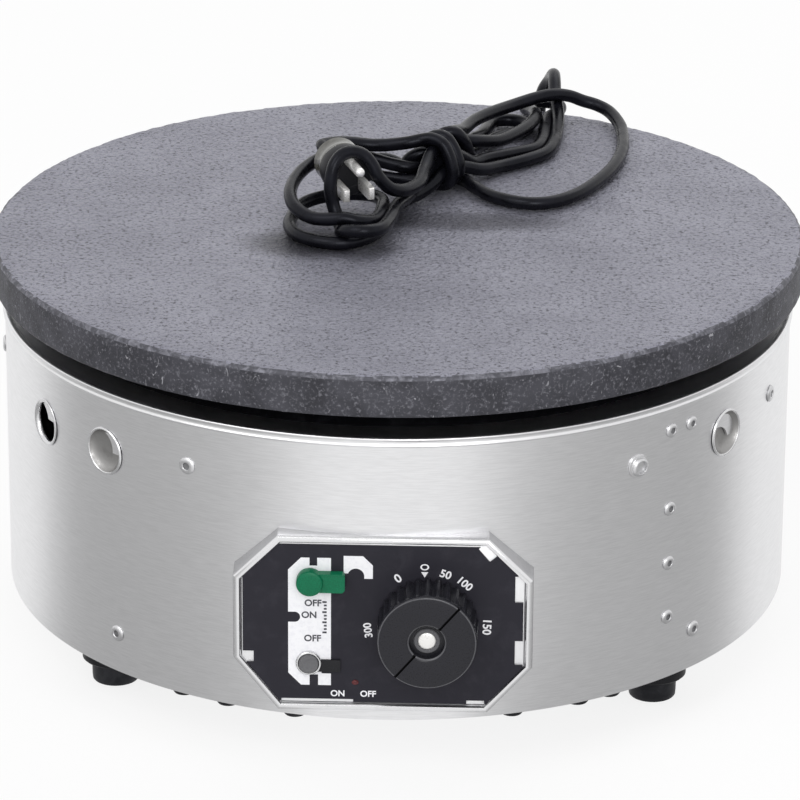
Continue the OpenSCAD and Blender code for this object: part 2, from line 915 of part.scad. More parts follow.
module terminal_block() {
    size = block_size;
    color("ivory") difference() {
        translate([block_xy[0] - size[0] / 2, block_xy[1] - size[1] / 2, floor_z]) cube(size);
        for (k = [-1 : 1])
            translate([block_xy[0] + screw_gap * k, block_xy[1], floor_z + 6])
                cylinder(r = 2.5, h = size[2]);
    }
}

module terminal_screws() {
    color("goldenrod")
        for (k = [-1 : 1])
            translate([block_xy[0] + screw_gap * k, block_xy[1], floor_z + 6])
                cylinder(r = 2.5, h = 8);
}

// Mains wires to the block, and the wires from it over the switches to the element's ends.
module wiring() {
    side = [1, 0.1, 0.05];
    top = floor_z + wire_rise;
    low = top - 3.5;
    x = block_xy[0];
    rear = block_xy[1] + block_size[1] / 2;
    front = block_xy[1] - block_size[1] / 2;
    back = -works_back;
    entry = (drum_r - 8) * outlet_way;
    gap = 1.7 * wire_d;
    ends = [for (r = coil_radii, a = leg_angles) [r * cos(a), r * sin(a), leg_z]];
    for (k = [-1 : 1])
        color(["brown", "green", "blue"][k + 1])
            tube([
                at(entry + gap * k * [outlet_way[1], -outlet_way[0]], outlet_z),
                [entry[0] - 2 + 6 * k, entry[1] - 17, outlet_z - 8],
                [x + 12 * k, (entry[1] + rear) / 2, outlet_z - 52],
                [x + screw_gap * k, rear + 14, top + 8], [x + screw_gap * k, rear, top]
            ], wire_d, 4, side);
    color("brown") tube([
        [x - screw_gap, front, top], [30, 90, low], [6, 20, low], [-24, -70, low],
        [-36, back + 37, panel_z - 15], [-36, back + 17, panel_z + 17], [-36, back, lever_z + 2]
    ], wire_d, 4, side);
    color("blue") tube([
        [x + screw_gap, front, top], [60, 80, low], [10, 0, top + 4], [-60, -70, panel_z - 15],
        [-91, -113, leg_z - 28], ends[2]
    ], wire_d, 4, side);
    color("brown") tube([
        [28, back, panel_z + 9], [26, back + 17, panel_z + 13], [-10, back + 49, panel_z + 29],
        [-52, -92, leg_z - 18], ends[0]
    ], wire_d, 4, side);
    color("brown") tube([
        ends[1], (ends[1] + ends[3]) / 2 - [0, 0, 14], ends[3]
    ], wire_d, 4, side);
    color("brown") tube([
        [-30, back, lever_z - 5], [-28, back + 15, lever_z - 9], [-8, back + 25, panel_z + 7],
        [10, back + 15, panel_z + 1], [12, back, panel_z - 1]
    ], wire_d, 4, [0.1, 0.05, 1]);
}

// ---------- mains outlet and cord ----------

// Elbow that turns the cord from the drum's rear straight up.
module cable_outlet() {
    barrel_r = elbow_r - 1.5;
    color("black") {
        outward(outlet_angle, outlet_z, drum_r - 10) cylinder(r = barrel_r, h = 10);
        outward(outlet_angle, outlet_z, drum_r + 0.5) cylinder(r = 12.5, h = 5, $fn = 6);
        outward(outlet_angle, outlet_z, drum_r) cylinder(r = barrel_r, h = outlet_reach - drum_r);
        translate([outlet_xy[0], outlet_xy[1], outlet_z - 11])
            cylinder(r = elbow_r, h = elbow_top - outlet_z + 11);
    }
}

module outlet_nut() {
    color("black")
        translate([outlet_xy[0], outlet_xy[1], elbow_top]) {
            cylinder(r = 10.6, h = outlet_nut_t - 2, $fn = 12);
            translate([0, 0, outlet_nut_t - 2]) cylinder(r1 = 10.2, r2 = 8.4, h = 2);
        }
}

module bend_relief() {
    color("black")
        translate([outlet_xy[0], outlet_xy[1], relief_z])
            cylinder(r1 = 6.4, r2 = cord_d / 2 + 0.9, h = relief_l);
}

module cord_lead() {
    color("black") tube(lead_points, cord_d, 5, [1, 0, 0], 10);
}

// Box along the bundle, from left to right of the tie.
module bundle(left, right, w, h, z) {
    translate([tie_xy[0], tie_xy[1], z])
        rotate([0, 0, tie_angle])
            translate([-left, -w / 2, 0]) cube([left + right, w, h]);
}

// Folded length of cord to the right of the tie, with the bundle that runs through it.
module cord_hank() {
    half_tie = tie_l / 2;
    color("black") difference() {
        union() {
            translate([0, 0, plate_top])
                linear_extrude(hank_h) hull()
                    for (p = hank_outline)
                        translate([p[0], p[1]]) circle(r = p[2], $fn = 32);
            bundle(neck_left, -half_tie, neck_w, neck_h, plate_top);
            bundle(half_tie, half_tie, neck_w, neck_h, plate_top + tie_t);
            bundle(-half_tie, neck_right, neck_w, neck_h, plate_top);
        }
        translate([coil_xy[0], coil_xy[1], plate_top - 1]) cylinder(r = coil_r, h = 40);
    }
}

// Round turns of cord to the left of the tie, under the plug.
module cord_coil() {
    color("black")
        translate([coil_xy[0], coil_xy[1], 0])
            ring(coil_hole_r, coil_r, plate_top, hank_h);
}

module cord_tie() {
    half_tie = tie_l / 2;
    color("black") difference() {
        bundle(half_tie, half_tie, neck_w + 2 * tie_t, neck_h + 2 * tie_t, plate_top);
        bundle(half_tie + 1, half_tie + 1, neck_w, neck_h, plate_top + tie_t);
    }
}

// Last stretch of cord, from the bundle to the plug.
module cord_tail() {
    color("black") tube(tail_points, cord_d, 4, [0, 0, 1], 10);
}

// Puts children at the plug's tail with +Z pointing the way its pins do.
module at_plug() {
    translate([plug_tail[0], plug_tail[1], plug_z])
        rotate([0, 0, plug_turn])
            rotate([90, 0, 0])
                children();
}

module plug_body() {
    color("black") at_plug() {
        cylinder(r1 = cord_d / 2 + 1, r2 = 8, h = 12);
        translate([0, 0, 12]) cylinder(r1 = 8, r2 = plug_r, h = 6);
        translate([0, 0, 18]) cylinder(r = plug_r, h = plug_l - 18);
    }
}

module plug_pins() {
    blade_gap = 12.7;
    blade_w = 6.35;
    blade_t = 1.5;
    blade_l = 17.5;
    earth_r = 2.4;
    earth_l = 20;
    earth_rise = 6;
    color("white") at_plug() translate([0, 0, plug_l]) {
        for (side = [-1, 1])
            translate([side * blade_gap / 2 - blade_t / 2, -earth_rise - blade_w / 2, 0])
                cube([blade_t, blade_w, blade_l]);
        translate([0, earth_rise, 0]) {
            cylinder(r = earth_r, h = earth_l - 1);
            translate([0, 0, earth_l - 1]) cylinder(r1 = earth_r, r2 = earth_r - 1, h = 1);
        }
    }
}

griddle_plate();
heating_element();
element_clamp();
clamp_bolt();
insulation_pad();
heat_shield();
support_ring();
support_posts();
post_nuts();
drum_shell();
rim_bead();
seam_strip();
seam_rivets();
ring_rivets();
base_rivets();
bonding_screw();
blanking_plugs();
port_grommet();
base_plate();
base_ring();
base_screws();
foot_plates();
rubber_feet();
foot_bolts();
panel_bezel();
panel_backing();
faceplate();
thermostat_body();
thermostat_nut();
thermostat_shaft();
thermostat_knob();
knob_cap();
sensor_bulb();
switch_body();
power_lever();
button_ring();
button_tag();
push_button();
cutout_body();
heating_lamp();
terminal_block();
terminal_screws();
wiring();
cable_outlet();
outlet_nut();
bend_relief();
cord_lead();
cord_hank();
cord_coil();
cord_tie();
cord_tail();
plug_body();
plug_pins();
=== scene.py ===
"""Electric crepe maker: dresses the fixed frame with modelled pieces and finishes.

Sizes are in millimetres and are turned into metres where a mesh is made. +Z is up, the
control panel faces -Y, and angles round the drum start at the front and grow towards +X.
"""

import json
import logging
import math
from contextlib import contextmanager
from dataclasses import dataclass
from enum import Enum
from typing import Callable, Iterator, Optional, Sequence, Union

import bmesh
import bpy
from mathutils import Matrix, Vector

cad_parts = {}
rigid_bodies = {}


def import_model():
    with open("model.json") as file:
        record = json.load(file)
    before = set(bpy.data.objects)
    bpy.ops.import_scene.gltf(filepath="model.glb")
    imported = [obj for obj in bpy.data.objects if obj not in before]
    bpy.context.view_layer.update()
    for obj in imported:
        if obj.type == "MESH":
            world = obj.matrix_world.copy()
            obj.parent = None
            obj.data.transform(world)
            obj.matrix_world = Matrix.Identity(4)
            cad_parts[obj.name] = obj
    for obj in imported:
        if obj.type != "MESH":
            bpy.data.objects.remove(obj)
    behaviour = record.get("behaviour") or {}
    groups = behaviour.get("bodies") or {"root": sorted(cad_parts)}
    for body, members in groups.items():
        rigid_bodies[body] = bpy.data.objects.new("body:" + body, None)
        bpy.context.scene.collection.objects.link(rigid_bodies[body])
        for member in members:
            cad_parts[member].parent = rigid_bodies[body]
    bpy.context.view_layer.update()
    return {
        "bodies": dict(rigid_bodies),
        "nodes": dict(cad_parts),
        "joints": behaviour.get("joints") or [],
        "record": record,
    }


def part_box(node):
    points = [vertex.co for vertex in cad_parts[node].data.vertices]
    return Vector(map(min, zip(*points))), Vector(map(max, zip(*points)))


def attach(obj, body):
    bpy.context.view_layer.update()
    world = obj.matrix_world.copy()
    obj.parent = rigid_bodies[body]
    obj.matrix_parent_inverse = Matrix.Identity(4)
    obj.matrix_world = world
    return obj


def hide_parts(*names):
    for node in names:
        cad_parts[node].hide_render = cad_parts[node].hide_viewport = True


MM = 0.001
LOG = logging.getLogger("crepe_maker")

Piece = bpy.types.Object
Point = Sequence[float]
Pair = tuple[float, float]
Triple = tuple[float, float, float]
Colour = Triple
Profile = Sequence[Pair]
Corners = tuple[Pair, Pair]
Cut = Union[Corners, Triple]
Key = Union[str, int]
Socket = bpy.types.NodeSocket
Value = Union[Socket, float, Sequence[float]]

# Sizes that several sub-assemblies share
DRUM_RADIUS = 194.2
DRUM_BASE = 24.0
PANEL_Z = 74.3
FACE_REACH = 196.8
KNOB_AXIS = (21.2, 75.2)
LEVER_AXIS = (-34.0, 96.6)
BUTTON_AXIS = (-34.6, 54.4)
LAMP_AXIS = (-12.8, 44.4)
OUTLET_TURN = 162.4
OUTLET_Z = 122.0

# Blender's text size against the height of a capital, and how much bolder the figures are
TEXT_SIZE = 1.42
BOLDER = 0.035


class Body(str, Enum):
    """Bodies of the frame that pieces ride on."""

    COOKER = "cooker"
    KNOB = "knob"
    LEVER = "lever"
    BUTTON = "button"


class Part(str, Enum):
    """What a selection picks from a mesh."""

    VERTS = "VERT"
    EDGES = "EDGE"
    FACES = "FACE"


# ---------------------------------------------------------------- modelling


def rgb(red: int, green: int, blue: int) -> Colour:
    """Linear colour of a screen colour given from 0 to 255.

    Args:
        red: Red part.
        green: Green part.
        blue: Blue part.

    Returns:
        The linear colour.
    """

    def linear(part: int) -> float:
        """One part made linear."""
        value = part / 255
        return value / 12.92 if value <= 0.04045 else ((value + 0.055) / 1.055) ** 2.4

    return linear(red), linear(green), linear(blue)


def deselect() -> None:
    """Leaves nothing selected."""
    for obj in list(bpy.context.selected_objects):
        obj.select_set(False)


def take(obj: Piece) -> Piece:
    """Selects one object alone and makes it the active one.

    Args:
        obj: The object.

    Returns:
        The same object.
    """
    deselect()
    obj.select_set(True)
    bpy.context.view_layer.objects.active = obj
    return obj


def added(name: str) -> Piece:
    """Names the object that an operator has just added.

    Args:
        name: The piece's name.

    Returns:
        The object.
    """
    obj = bpy.context.object
    obj.name = name
    obj.data.name = name
    return obj


@contextmanager
def editing(obj: Piece, part: Part = Part.VERTS) -> Iterator[None]:
    """Edit mode on one object.

    Args:
        obj: The object to edit.
        part: What is selected in it.

    Yields:
        Nothing; the operators act on the object's mesh.
    """
    take(obj)
    bpy.ops.object.mode_set(mode="EDIT")
    bpy.ops.mesh.select_mode(type=part.value)
    yield
    bpy.ops.object.mode_set(mode="OBJECT")


def off_axis(at: Vector) -> float:
    """Distance of a place from the Z axis."""
    return math.hypot(at.x, at.y)


def bearing(at: Vector) -> float:
    """Angle of a place round the Z axis, in degrees."""
    return math.degrees(math.atan2(at.y, at.x))


def pick(obj: Piece, part: Part, test: Callable[[Vector, Vector], bool]) -> None:
    """Selects, in edit mode, what passes a test of its middle and its normal.

    Args:
        obj: The object in edit mode.
        part: What is tested, points or faces.
        test: Takes the middle in millimetres and the normal.
    """
    bpy.ops.mesh.select_all(action="DESELECT")
    mesh = bmesh.from_edit_mesh(obj.data)
    mesh.normal_update()
    if part is Part.VERTS:
        for vert in mesh.verts:
            if test(vert.co / MM, vert.normal):
                vert.select = True
        mesh.select_flush_mode()
    else:
        for face in mesh.faces:
            if test(face.calc_center_median() / MM, face.normal):
                face.select_set(True)
    bmesh.update_edit_mesh(obj.data)


def mended(obj: Piece) -> Piece:
    """Merges doubled points and turns all faces outwards.

    Args:
        obj: The piece.

    Returns:
        The same piece.
    """
    with editing(obj):
        bpy.ops.mesh.select_all(action="SELECT")
        bpy.ops.mesh.remove_doubles(threshold=0.001 * MM)
        bpy.ops.mesh.normals_make_consistent(inside=False)
    return obj


def settled(obj: Piece, place: Optional[Matrix] = None) -> Piece:
    """Moves a piece to its place and puts that place into its mesh.

    Args:
        obj: The piece.
        place: Where it goes, or None to keep where it is.

    Returns:
        The same piece, with its object at the origin.
    """
    take(obj)
    if place is not None:
        obj.matrix_world = place @ obj.matrix_world
    bpy.ops.object.transform_apply(location=True, rotation=True, scale=True)
    return obj


def turned(name: str, profile: Profile, sides: int = 64, place: Optional[Matrix] = None) -> Piece:
    """Turns a profile round Z, ring by ring, as on a lathe.

    Args:
        name: The piece's name.
        profile: Radius and height of each ring. A radius of 0 closes an end in a pole, and
            a last ring equal to the first closes a hoop.
        sides: Points in each ring.
        place: Where the turned piece goes, or None to leave it on the Z axis.

    Returns:
        The turned piece.
    """
    rings = list(profile)
    pole = rings.pop(0) if rings[0][0] == 0 else None
    radius, height = rings[0]
    deselect()
    bpy.ops.mesh.primitive_circle_add(
        vertices=sides,
        radius=radius * MM,
        fill_type="TRIFAN" if pole else "NOTHING",
        location=(0, 0, height * MM),
    )
    obj = settled(added(name))
    with editing(obj):
        if pole:
            pick(obj, Part.VERTS, lambda at, _: off_axis(at) < radius / 2)
            bpy.ops.transform.translate(value=(0, 0, (pole[1] - height) * MM))
            pick(obj, Part.VERTS, lambda at, _: off_axis(at) > radius / 2)
        else:
            bpy.ops.mesh.select_all(action="SELECT")
        for next_radius, next_height in rings[1:]:
            bpy.ops.mesh.extrude_edges_move(
                TRANSFORM_OT_translate={"value": (0, 0, (next_height - height) * MM)}
            )
            if next_radius == 0:
                bpy.ops.mesh.merge(type="CENTER")
                break
            share = next_radius / radius
            bpy.ops.transform.resize(
                value=(share, share, 1), center_override=(0, 0, next_height * MM)
            )
            radius, height = next_radius, next_height
    return mended(obj) if place is None else settled(mended(obj), place)


def block(name: str, low: Point, high: Point) -> Piece:
    """Box between two corners.

    Args:
        name: The piece's name.
        low: Lowest corner.
        high: Highest corner.

    Returns:
        The box.
    """
    deselect()
    middle = [(a + b) / 2 * MM for a, b in zip(low, high)]
    bpy.ops.mesh.primitive_cube_add(size=1, location=middle)
    obj = added(name)
    obj.scale = [(b - a) * MM for a, b in zip(low, high)]
    return settled(obj)


def cut_by_plane(obj: Piece, at: Point, normal: Point) -> None:
    """Cuts off what lies on the side of a plane that its normal points to.

    Args:
        obj: The piece.
        at: A point on the plane.
        normal: The plane's normal.
    """
    with editing(obj):
        bpy.ops.mesh.select_all(action="SELECT")
        bpy.ops.mesh.bisect(
            plane_co=[value * MM for value in at],
            plane_no=Vector(normal).normalized(),
            use_fill=True,
            clear_outer=True,
        )


def joined(name: str, pieces: Sequence[Piece]) -> Piece:
    """Joins pieces into one object.

    Args:
        name: The name of the whole.
        pieces: The pieces, which become one.

    Returns:
        The whole.
    """
    first = take(pieces[0])
    for piece in pieces[1:]:
        piece.select_set(True)
    if len(pieces) > 1:
        bpy.ops.object.join()
    first.name = name
    first.data.name = name
    return first


def copied(name: str, pattern: Piece, places: Sequence[Matrix]) -> Piece:
    """Puts a copy of a piece, with its own mesh, at each place and joins them.

    Args:
        name: The name of the row of copies.
        pattern: The piece that is copied; it is used up.
        places: Where the copies go.

    Returns:
        The joined copies.
    """
    copies = []
    for place in places:
        twin = pattern.copy()
        twin.data = pattern.data.copy()
        bpy.context.scene.collection.objects.link(twin)
        twin.matrix_world = place
        copies.append(settled(twin))
    bpy.data.objects.remove(pattern)
    return joined(name, copies)


def linked(name: str, data: bpy.types.ID) -> Piece:
    """Puts an object with ready-made data into the scene.

    Args:
        name: The object's name.
        data: Its curve, camera or lamp.

    Returns:
        The object.
    """
    obj = bpy.data.objects.new(name, data)
    bpy.context.scene.collection.objects.link(obj)
    return obj


def apply_all(obj: Piece) -> None:
    """Applies every modifier of a piece, in order.

    Args:
        obj: The piece.
    """
    take(obj)
    for modifier in list(obj.modifiers):
        bpy.ops.object.modifier_apply(modifier=modifier.name)


def carved(obj: Piece, tool: Piece, operation: str = "DIFFERENCE") -> Piece:
    """Cuts a piece with a tool, or welds the tool to it, and uses the tool up.

    Args:
        obj: The piece.
        tool: The other solid.
        operation: DIFFERENCE, UNION or INTERSECT.

    Returns:
        The same piece.
    """
    modifier = obj.modifiers.new("carve", "BOOLEAN")
    modifier.operation = operation
    modifier.solver = "EXACT"
    modifier.object = tool
    apply_all(obj)
    bpy.data.objects.remove(tool)
    return obj


def drilled(
    obj: Piece, place: Matrix, radius: float, depth: Pair = (-2, 2), sides: int = 40
) -> Piece:
    """Drills a round hole into a piece.

    Args:
        obj: The piece.
        place: Place of the hole, whose axis is its Z.
        radius: Radius of the hole.
        depth: Where the drill starts and ends along the axis.
        sides: Points round the hole.

    Returns:
        The same piece.
    """
    low, high = depth
    drill = [(0, low), (radius, low), (radius, high), (0, high)]
    return carved(obj, turned("drill", drill, sides, place))


def bevelled(obj: Piece, width: float, segments: int = 2, angle: float = 35) -> Piece:
    """Rounds a piece's sharp edges.

    Args:
        obj: The piece.
        width: Width of the rounding.
        segments: Steps across it.
        angle: Smallest angle between faces that is rounded, in degrees.

    Returns:
        The same piece.
    """
    modifier = obj.modifiers.new("bevel", "BEVEL")
    modifier.width = width * MM
    modifier.segments = segments
    modifier.limit_method = "ANGLE"
    modifier.angle_limit = math.radians(angle)
    modifier.harden_normals = False
    apply_all(obj)
    return obj


def lettered(
    name: str, words: str, height: float, place: Matrix, thickness: float = 0.1
) -> Piece:
    """Thin raised figures, centred on their place.

    Args:
        name: The piece's name.
        words: The figures.
        height: Height of a capital.
        place: Where their middle goes, facing +Z.
        thickness: How far they stand proud.

    Returns:
        The figures as a mesh.
    """
    deselect()
    bpy.ops.object.text_add()
    obj = added(name)
    obj.data.body = words
    obj.data.size = height * TEXT_SIZE * MM
    obj.data.align_x = "CENTER"
    obj.data.align_y = "CENTER"
    obj.data.extrude = thickness / 2 * MM
    obj.data.offset = height * BOLDER * MM
    obj.data.resolution_u = 6
    take(obj)
    bpy.ops.object.convert(target="MESH")
    obj = added(name)
    return mended(settled(obj, place))


def spun(angle: float) -> Matrix:
    """Turn round Z by an angle in degrees."""
    return Matrix.Rotation(math.radians(angle), 4, "Z")


def on_panel(x: float, z: float, reach: float) -> Matrix:
    """Place on the front, with +Z pointing forwards and +Y up.

    Args:
        x: Place across.
        z: Height.
        reach: Distance in front of the drum's axis.

    Returns:
        The matrix of that place, in metres.
    """
    return Matrix.Translation(Vector((x, -reach, z)) * MM) @ Matrix.Rotation(math.pi / 2, 4, "X")


def outward(angle: float, z: float, reach: float) -> Matrix:
    """Place on the drum's side, with +Z pointing outwards and +Y up.

    Args:
        angle: Angle round the drum from the front, in degrees.
        z: Height.
        reach: Distance from the axis.

    Returns:
        The matrix of that place, in metres.
    """
    return spun(angle) @ on_panel(0, z, reach)


def upright(angle: float, reach: float) -> Matrix:
    """Place in plan at an angle round the drum, with +Z still up.

    Args:
        angle: Angle round the drum from the front, in degrees.
        reach: Distance from the axis.

    Returns:
        The matrix of that place, in metres.
    """
    return spun(angle) @ Matrix.Translation(Vector((0, -reach, 0)) * MM)


# ---------------------------------------------------------------- finishes


class Tree:
    """Node tree of a world or a material."""

    def __init__(self, tree: bpy.types.NodeTree) -> None:
        """Keeps the tree that the nodes are added to."""
        self.tree = tree

    def add(
        self, kind: str, values: Optional[dict[Key, Value]] = None, **settings: object
    ) -> bpy.types.Node:
        """Adds a node.

        Args:
            kind: The node's type.
            values: Its sockets by name or number, with a number, a colour or a socket.
            **settings: Its properties.

        Returns:
            The node.
        """
        node = self.tree.nodes.new(kind)
        for key, value in settings.items():
            setattr(node, key, value)
        for key, value in (values or {}).items():
            self.feed(node.inputs[key], value)
        return node

    def feed(self, target: Socket, value: Value) -> None:
        """Sets a socket to a constant, or links another socket to it.

        Args:
            target: The socket.
            value: A number, a colour, a vector or another socket.
        """
        if isinstance(value, bpy.types.NodeSocket):
            self.tree.links.new(value, target)
        elif isinstance(value, (int, float)):
            target.default_value = value
        elif target.type == "RGBA":
            target.default_value = (*value[:3], 1)
        else:
            target.default_value = value

    def maths(self, operation: str, first: Value, second: Value = 0.0) -> Socket:
        """One sum on two numbers."""
        node = self.add("ShaderNodeMath", {0: first, 1: second}, operation=operation)
        return node.outputs[0]

    def background_ray(self) -> Socket:
        """Tells a ray that shows the background from one that lights the object.

        Returns:
            1 where the surface is seen plainly, mirrored or through glass, otherwise 0.
        """
        rays = self.add("ShaderNodeLightPath").outputs
        plain = self.maths("MAXIMUM", rays["Is Camera Ray"], rays["Is Transmission Ray"])
        return self.maths("MAXIMUM", plain, rays["Is Glossy Ray"])


class Graph(Tree):
    """Node tree of one material round its Principled shader, on Object coordinates."""

    def __init__(self, name: str) -> None:
        """Starts a material.

        Args:
            name: The material's name.
        """
        self.material = bpy.data.materials.new(name)
        self.material.use_nodes = True
        super().__init__(self.material.node_tree)
        self.shader = next(n for n in self.tree.nodes if n.type == "BSDF_PRINCIPLED")
        self.coords: Socket = self.add("ShaderNodeTexCoord").outputs["Object"]

    def set(self, **values: Value) -> None:
        """Sets the shader's sockets; underscores stand for spaces in their names."""
        for key, value in values.items():
            self.feed(self.shader.inputs[key.replace("_", " ")], value)

    def stretched(self, x: float, y: float, z: float) -> Socket:
        """Object coordinates scaled along the three axes."""
        node = self.add("ShaderNodeMapping", {"Vector": self.coords, "Scale": (x, y, z)})
        return node.outputs["Vector"]

    def noise(
        self,
        scale: float,
        at: Optional[Socket] = None,
        detail: float = 4,
        roughness: float = 0.55,
        warp: float = 0,
    ) -> Socket:
        """Noise from 0 to 1.

        Args:
            scale: Waves in a metre.
            at: Where it is read; the plain coordinates if None.
            detail: Finer waves on it.
            roughness: Strength of the finer waves.
            warp: How much it is bent by itself.

        Returns:
            Its value.
        """
        values: dict[Key, Value] = {
            "Vector": at or self.coords, "Scale": scale, "Detail": detail,
            "Roughness": roughness, "Distortion": warp,
        }
        return self.add("ShaderNodeTexNoise", values).outputs["Fac"]

    def spread(
        self, value: Value, low: float, high: float, to_low: float = 0, to_high: float = 1
    ) -> Socket:
        """Maps a range smoothly to another one.

        Args:
            value: What is mapped.
            low: Start of its range.
            high: End of its range.
            to_low: What the start becomes.
            to_high: What the end becomes.

        Returns:
            The mapped value.
        """
        node = self.add(
            "ShaderNodeMapRange",
            {0: value, 1: low, 2: high, 3: to_low, 4: to_high},
            interpolation_type="SMOOTHSTEP",
        )
        return node.outputs[0]

    def mix(self, share: Value, first: Value, second: Value) -> Socket:
        """Mixes two colours.

        Args:
            share: Share of the second colour, from 0 to 1.
            first: One colour.
            second: The other colour.

        Returns:
            The colour between them.
        """
        node = self.add("ShaderNodeMix", data_type="RGBA")
        self.feed(node.inputs[0], share)
        self.feed(node.inputs[6], first)
        self.feed(node.inputs[7], second)
        return node.outputs[2]

    def axis(self, letter: str) -> Socket:
        """One of the object's coordinates, in metres."""
        node = self.add("ShaderNodeSeparateXYZ", {0: self.coords})
        return node.outputs[letter]

    def bump(
        self, height: Socket, depth: float, strength: float = 1, over: Optional[Socket] = None
    ) -> Socket:
        """Normal of a rough surface.

        Args:
            height: Height from 0 to 1.
            depth: Depth of the relief in millimetres.
            strength: Strength of the effect.
            over: Normal that it is laid over.

        Returns:
            The normal.
        """
        values: dict[Key, Value] = {
            "Height": height, "Distance": depth * MM, "Strength": strength,
        }
        if over is not None:
            values["Normal"] = over
        return self.add("ShaderNodeBump", values).outputs["Normal"]


MADE: dict["Finish", bpy.types.Material] = {}


@dataclass(frozen=True)
class Finish:
    """A finish that pieces are dressed in.

    Attributes:
        name: The material's name.
    """

    name: str

    def draw(self, graph: Graph) -> None:
        """Draws the finish on a material's graph."""
        raise NotImplementedError

    def material(self) -> bpy.types.Material:
        """The finish's material, made once.

        Returns:
            The material.
        """
        if self not in MADE:
            graph = Graph(self.name)
            self.draw(graph)
            MADE[self] = graph.material
        return MADE[self]


@dataclass(frozen=True)
class BrushedSteel(Finish):
    """Stainless sheet with fine level brush lines.

    Attributes:
        colour: Colour of the metal.
        roughness: Middle roughness.
        lines: Brush lines in a metre.
    """

    colour: Colour = (0.8, 0.8, 0.81)
    roughness: float = 0.3
    lines: float = 1700

    def draw(self, graph: Graph) -> None:
        """Draws the brushing, its uneven pressure and faint handling marks.

        Args:
            graph: The material's graph.
        """
        fine = graph.noise(1, graph.stretched(110, 110, self.lines), 4, 0.6)
        coarse = graph.noise(1, graph.stretched(60, 60, self.lines / 3), 3, 0.5)
        cloud = graph.noise(11, detail=3)
        dark = tuple(0.93 * part for part in self.colour)
        light = tuple(min(1.0, 1.045 * part) for part in self.colour)
        lines = graph.mix(graph.spread(fine, 0.25, 0.75), dark, light)
        worn = graph.mix(graph.spread(coarse, 0.3, 0.8, 0, 0.16), lines, light)
        graph.set(
            Base_Color=graph.mix(graph.spread(cloud, 0.35, 0.7, 0, 0.1), worn, dark),
            Metallic=1.0,
            Roughness=graph.spread(
                coarse, 0.2, 0.8, self.roughness - 0.02, self.roughness + 0.03
            ),
            Normal=graph.bump(fine, 0.003, 0.3),
        )


@dataclass(frozen=True)
class PlainMetal(Finish):
    """Turned, plated or polished metal with a fine grain and light wear.

    Attributes:
        colour: Colour of the metal.
        stain_and_shadow: Colour of its dull spots.
        roughness: Middle roughness.
        grain: Grain in a metre.
        relief: Depth of the grain in millimetres.
        metallic: How metallic it is, lower for a lacquered coat.
    """

    colour: Colour = (0.7, 0.7, 0.71)
    stain_and_shadow: Colour = (0.5, 0.5, 0.52)
    roughness: float = 0.2
    grain: float = 900
    relief: float = 0.006
    metallic: float = 1.0

    def draw(self, graph: Graph) -> None:
        """Draws the grain and the dull spots.

        Args:
            graph: The material's graph.
        """
        grain = graph.noise(self.grain, detail=5, roughness=0.6)
        spots = graph.noise(160, detail=4, warp=0.6)
        graph.set(
            Base_Color=graph.mix(graph.spread(spots, 0.5, 0.8, 0, 0.7), self.colour, self.stain_and_shadow),
            Metallic=self.metallic,
            Roughness=graph.spread(grain, 0.2, 0.8, 0.75 * self.roughness, 1.35 * self.roughness),
            Normal=graph.bump(grain, self.relief, 0.5),
        )


@dataclass(frozen=True)
class IronTop(Finish):
    """Cooking face of cast iron: smooth with rolled dents, seasoned blue-grey.

    Attributes:
        cord_shadows: Place, half sizes and depth of each painted shadow and reflection of the
            cord on the plate.
    """

    cord_shadows: Sequence[tuple[Point, Point, float]] = (
        ((-38, -25), (40, 22), 0.9), ((32, 12), (56, 15), 0.6),
    )

    @staticmethod
    def blot(graph: Graph, uneven: Socket, place: Point, size: Point, depth: float) -> Socket:
        """Soft oval with an uneven edge.

        Args:
            graph: The material's graph.
            uneven: Noise that frays the edge.
            place: Its middle.
            size: Half its width and half its depth.
            depth: How dark it is in the middle.

        Returns:
            The painted shadow's share of the colour.
        """
        squares = []
        for name, middle, half in zip("XY", place, size):
            away = graph.maths("SUBTRACT", graph.axis(name), middle * MM)
            away = graph.maths("DIVIDE", away, half * MM)
            squares.append(graph.maths("MULTIPLY", away, away))
        far = graph.maths("ADD", graph.maths("ADD", *squares), uneven)
        return graph.spread(far, 0.5, 2.0, depth, 0)

    def draw(self, graph: Graph) -> None:
        """Draws the dents, the pits between them, the seasoning's patches and the painted shadows
        of the cord.

        Args:
            graph: The material's graph.
        """
        dents = graph.noise(250, detail=4, roughness=0.6, warp=1.0)
        pits = graph.noise(520, detail=5, roughness=0.7, warp=0.3)
        patches = graph.noise(26, detail=4, warp=0.4)
        iron = graph.mix(graph.spread(patches, 0.3, 0.7), rgb(132, 132, 144), rgb(143, 143, 155))
        # Painted shadow and reflection of the cord: dark ovals on the plate round and under the
        # cord.
        for place, size, depth in self.cord_shadows:
            stain_and_shadow = self.blot(graph, patches, place, size, depth)
            iron = graph.mix(stain_and_shadow, iron, rgb(34, 34, 41))
        pitted = graph.mix(graph.spread(pits, 0.5, 0.66, 0, 0.85), iron, rgb(44, 44, 52))
        rolled = graph.bump(dents, 1.7, 0.9)
        graph.set(
            Base_Color=pitted,
            Metallic=0.55,
            Roughness=graph.spread(pits, 0.3, 0.75, 0.3, 0.5),
            Specular_IOR_Level=0.4,
            Normal=graph.bump(pits, 0.5, 0.8, rolled),
        )


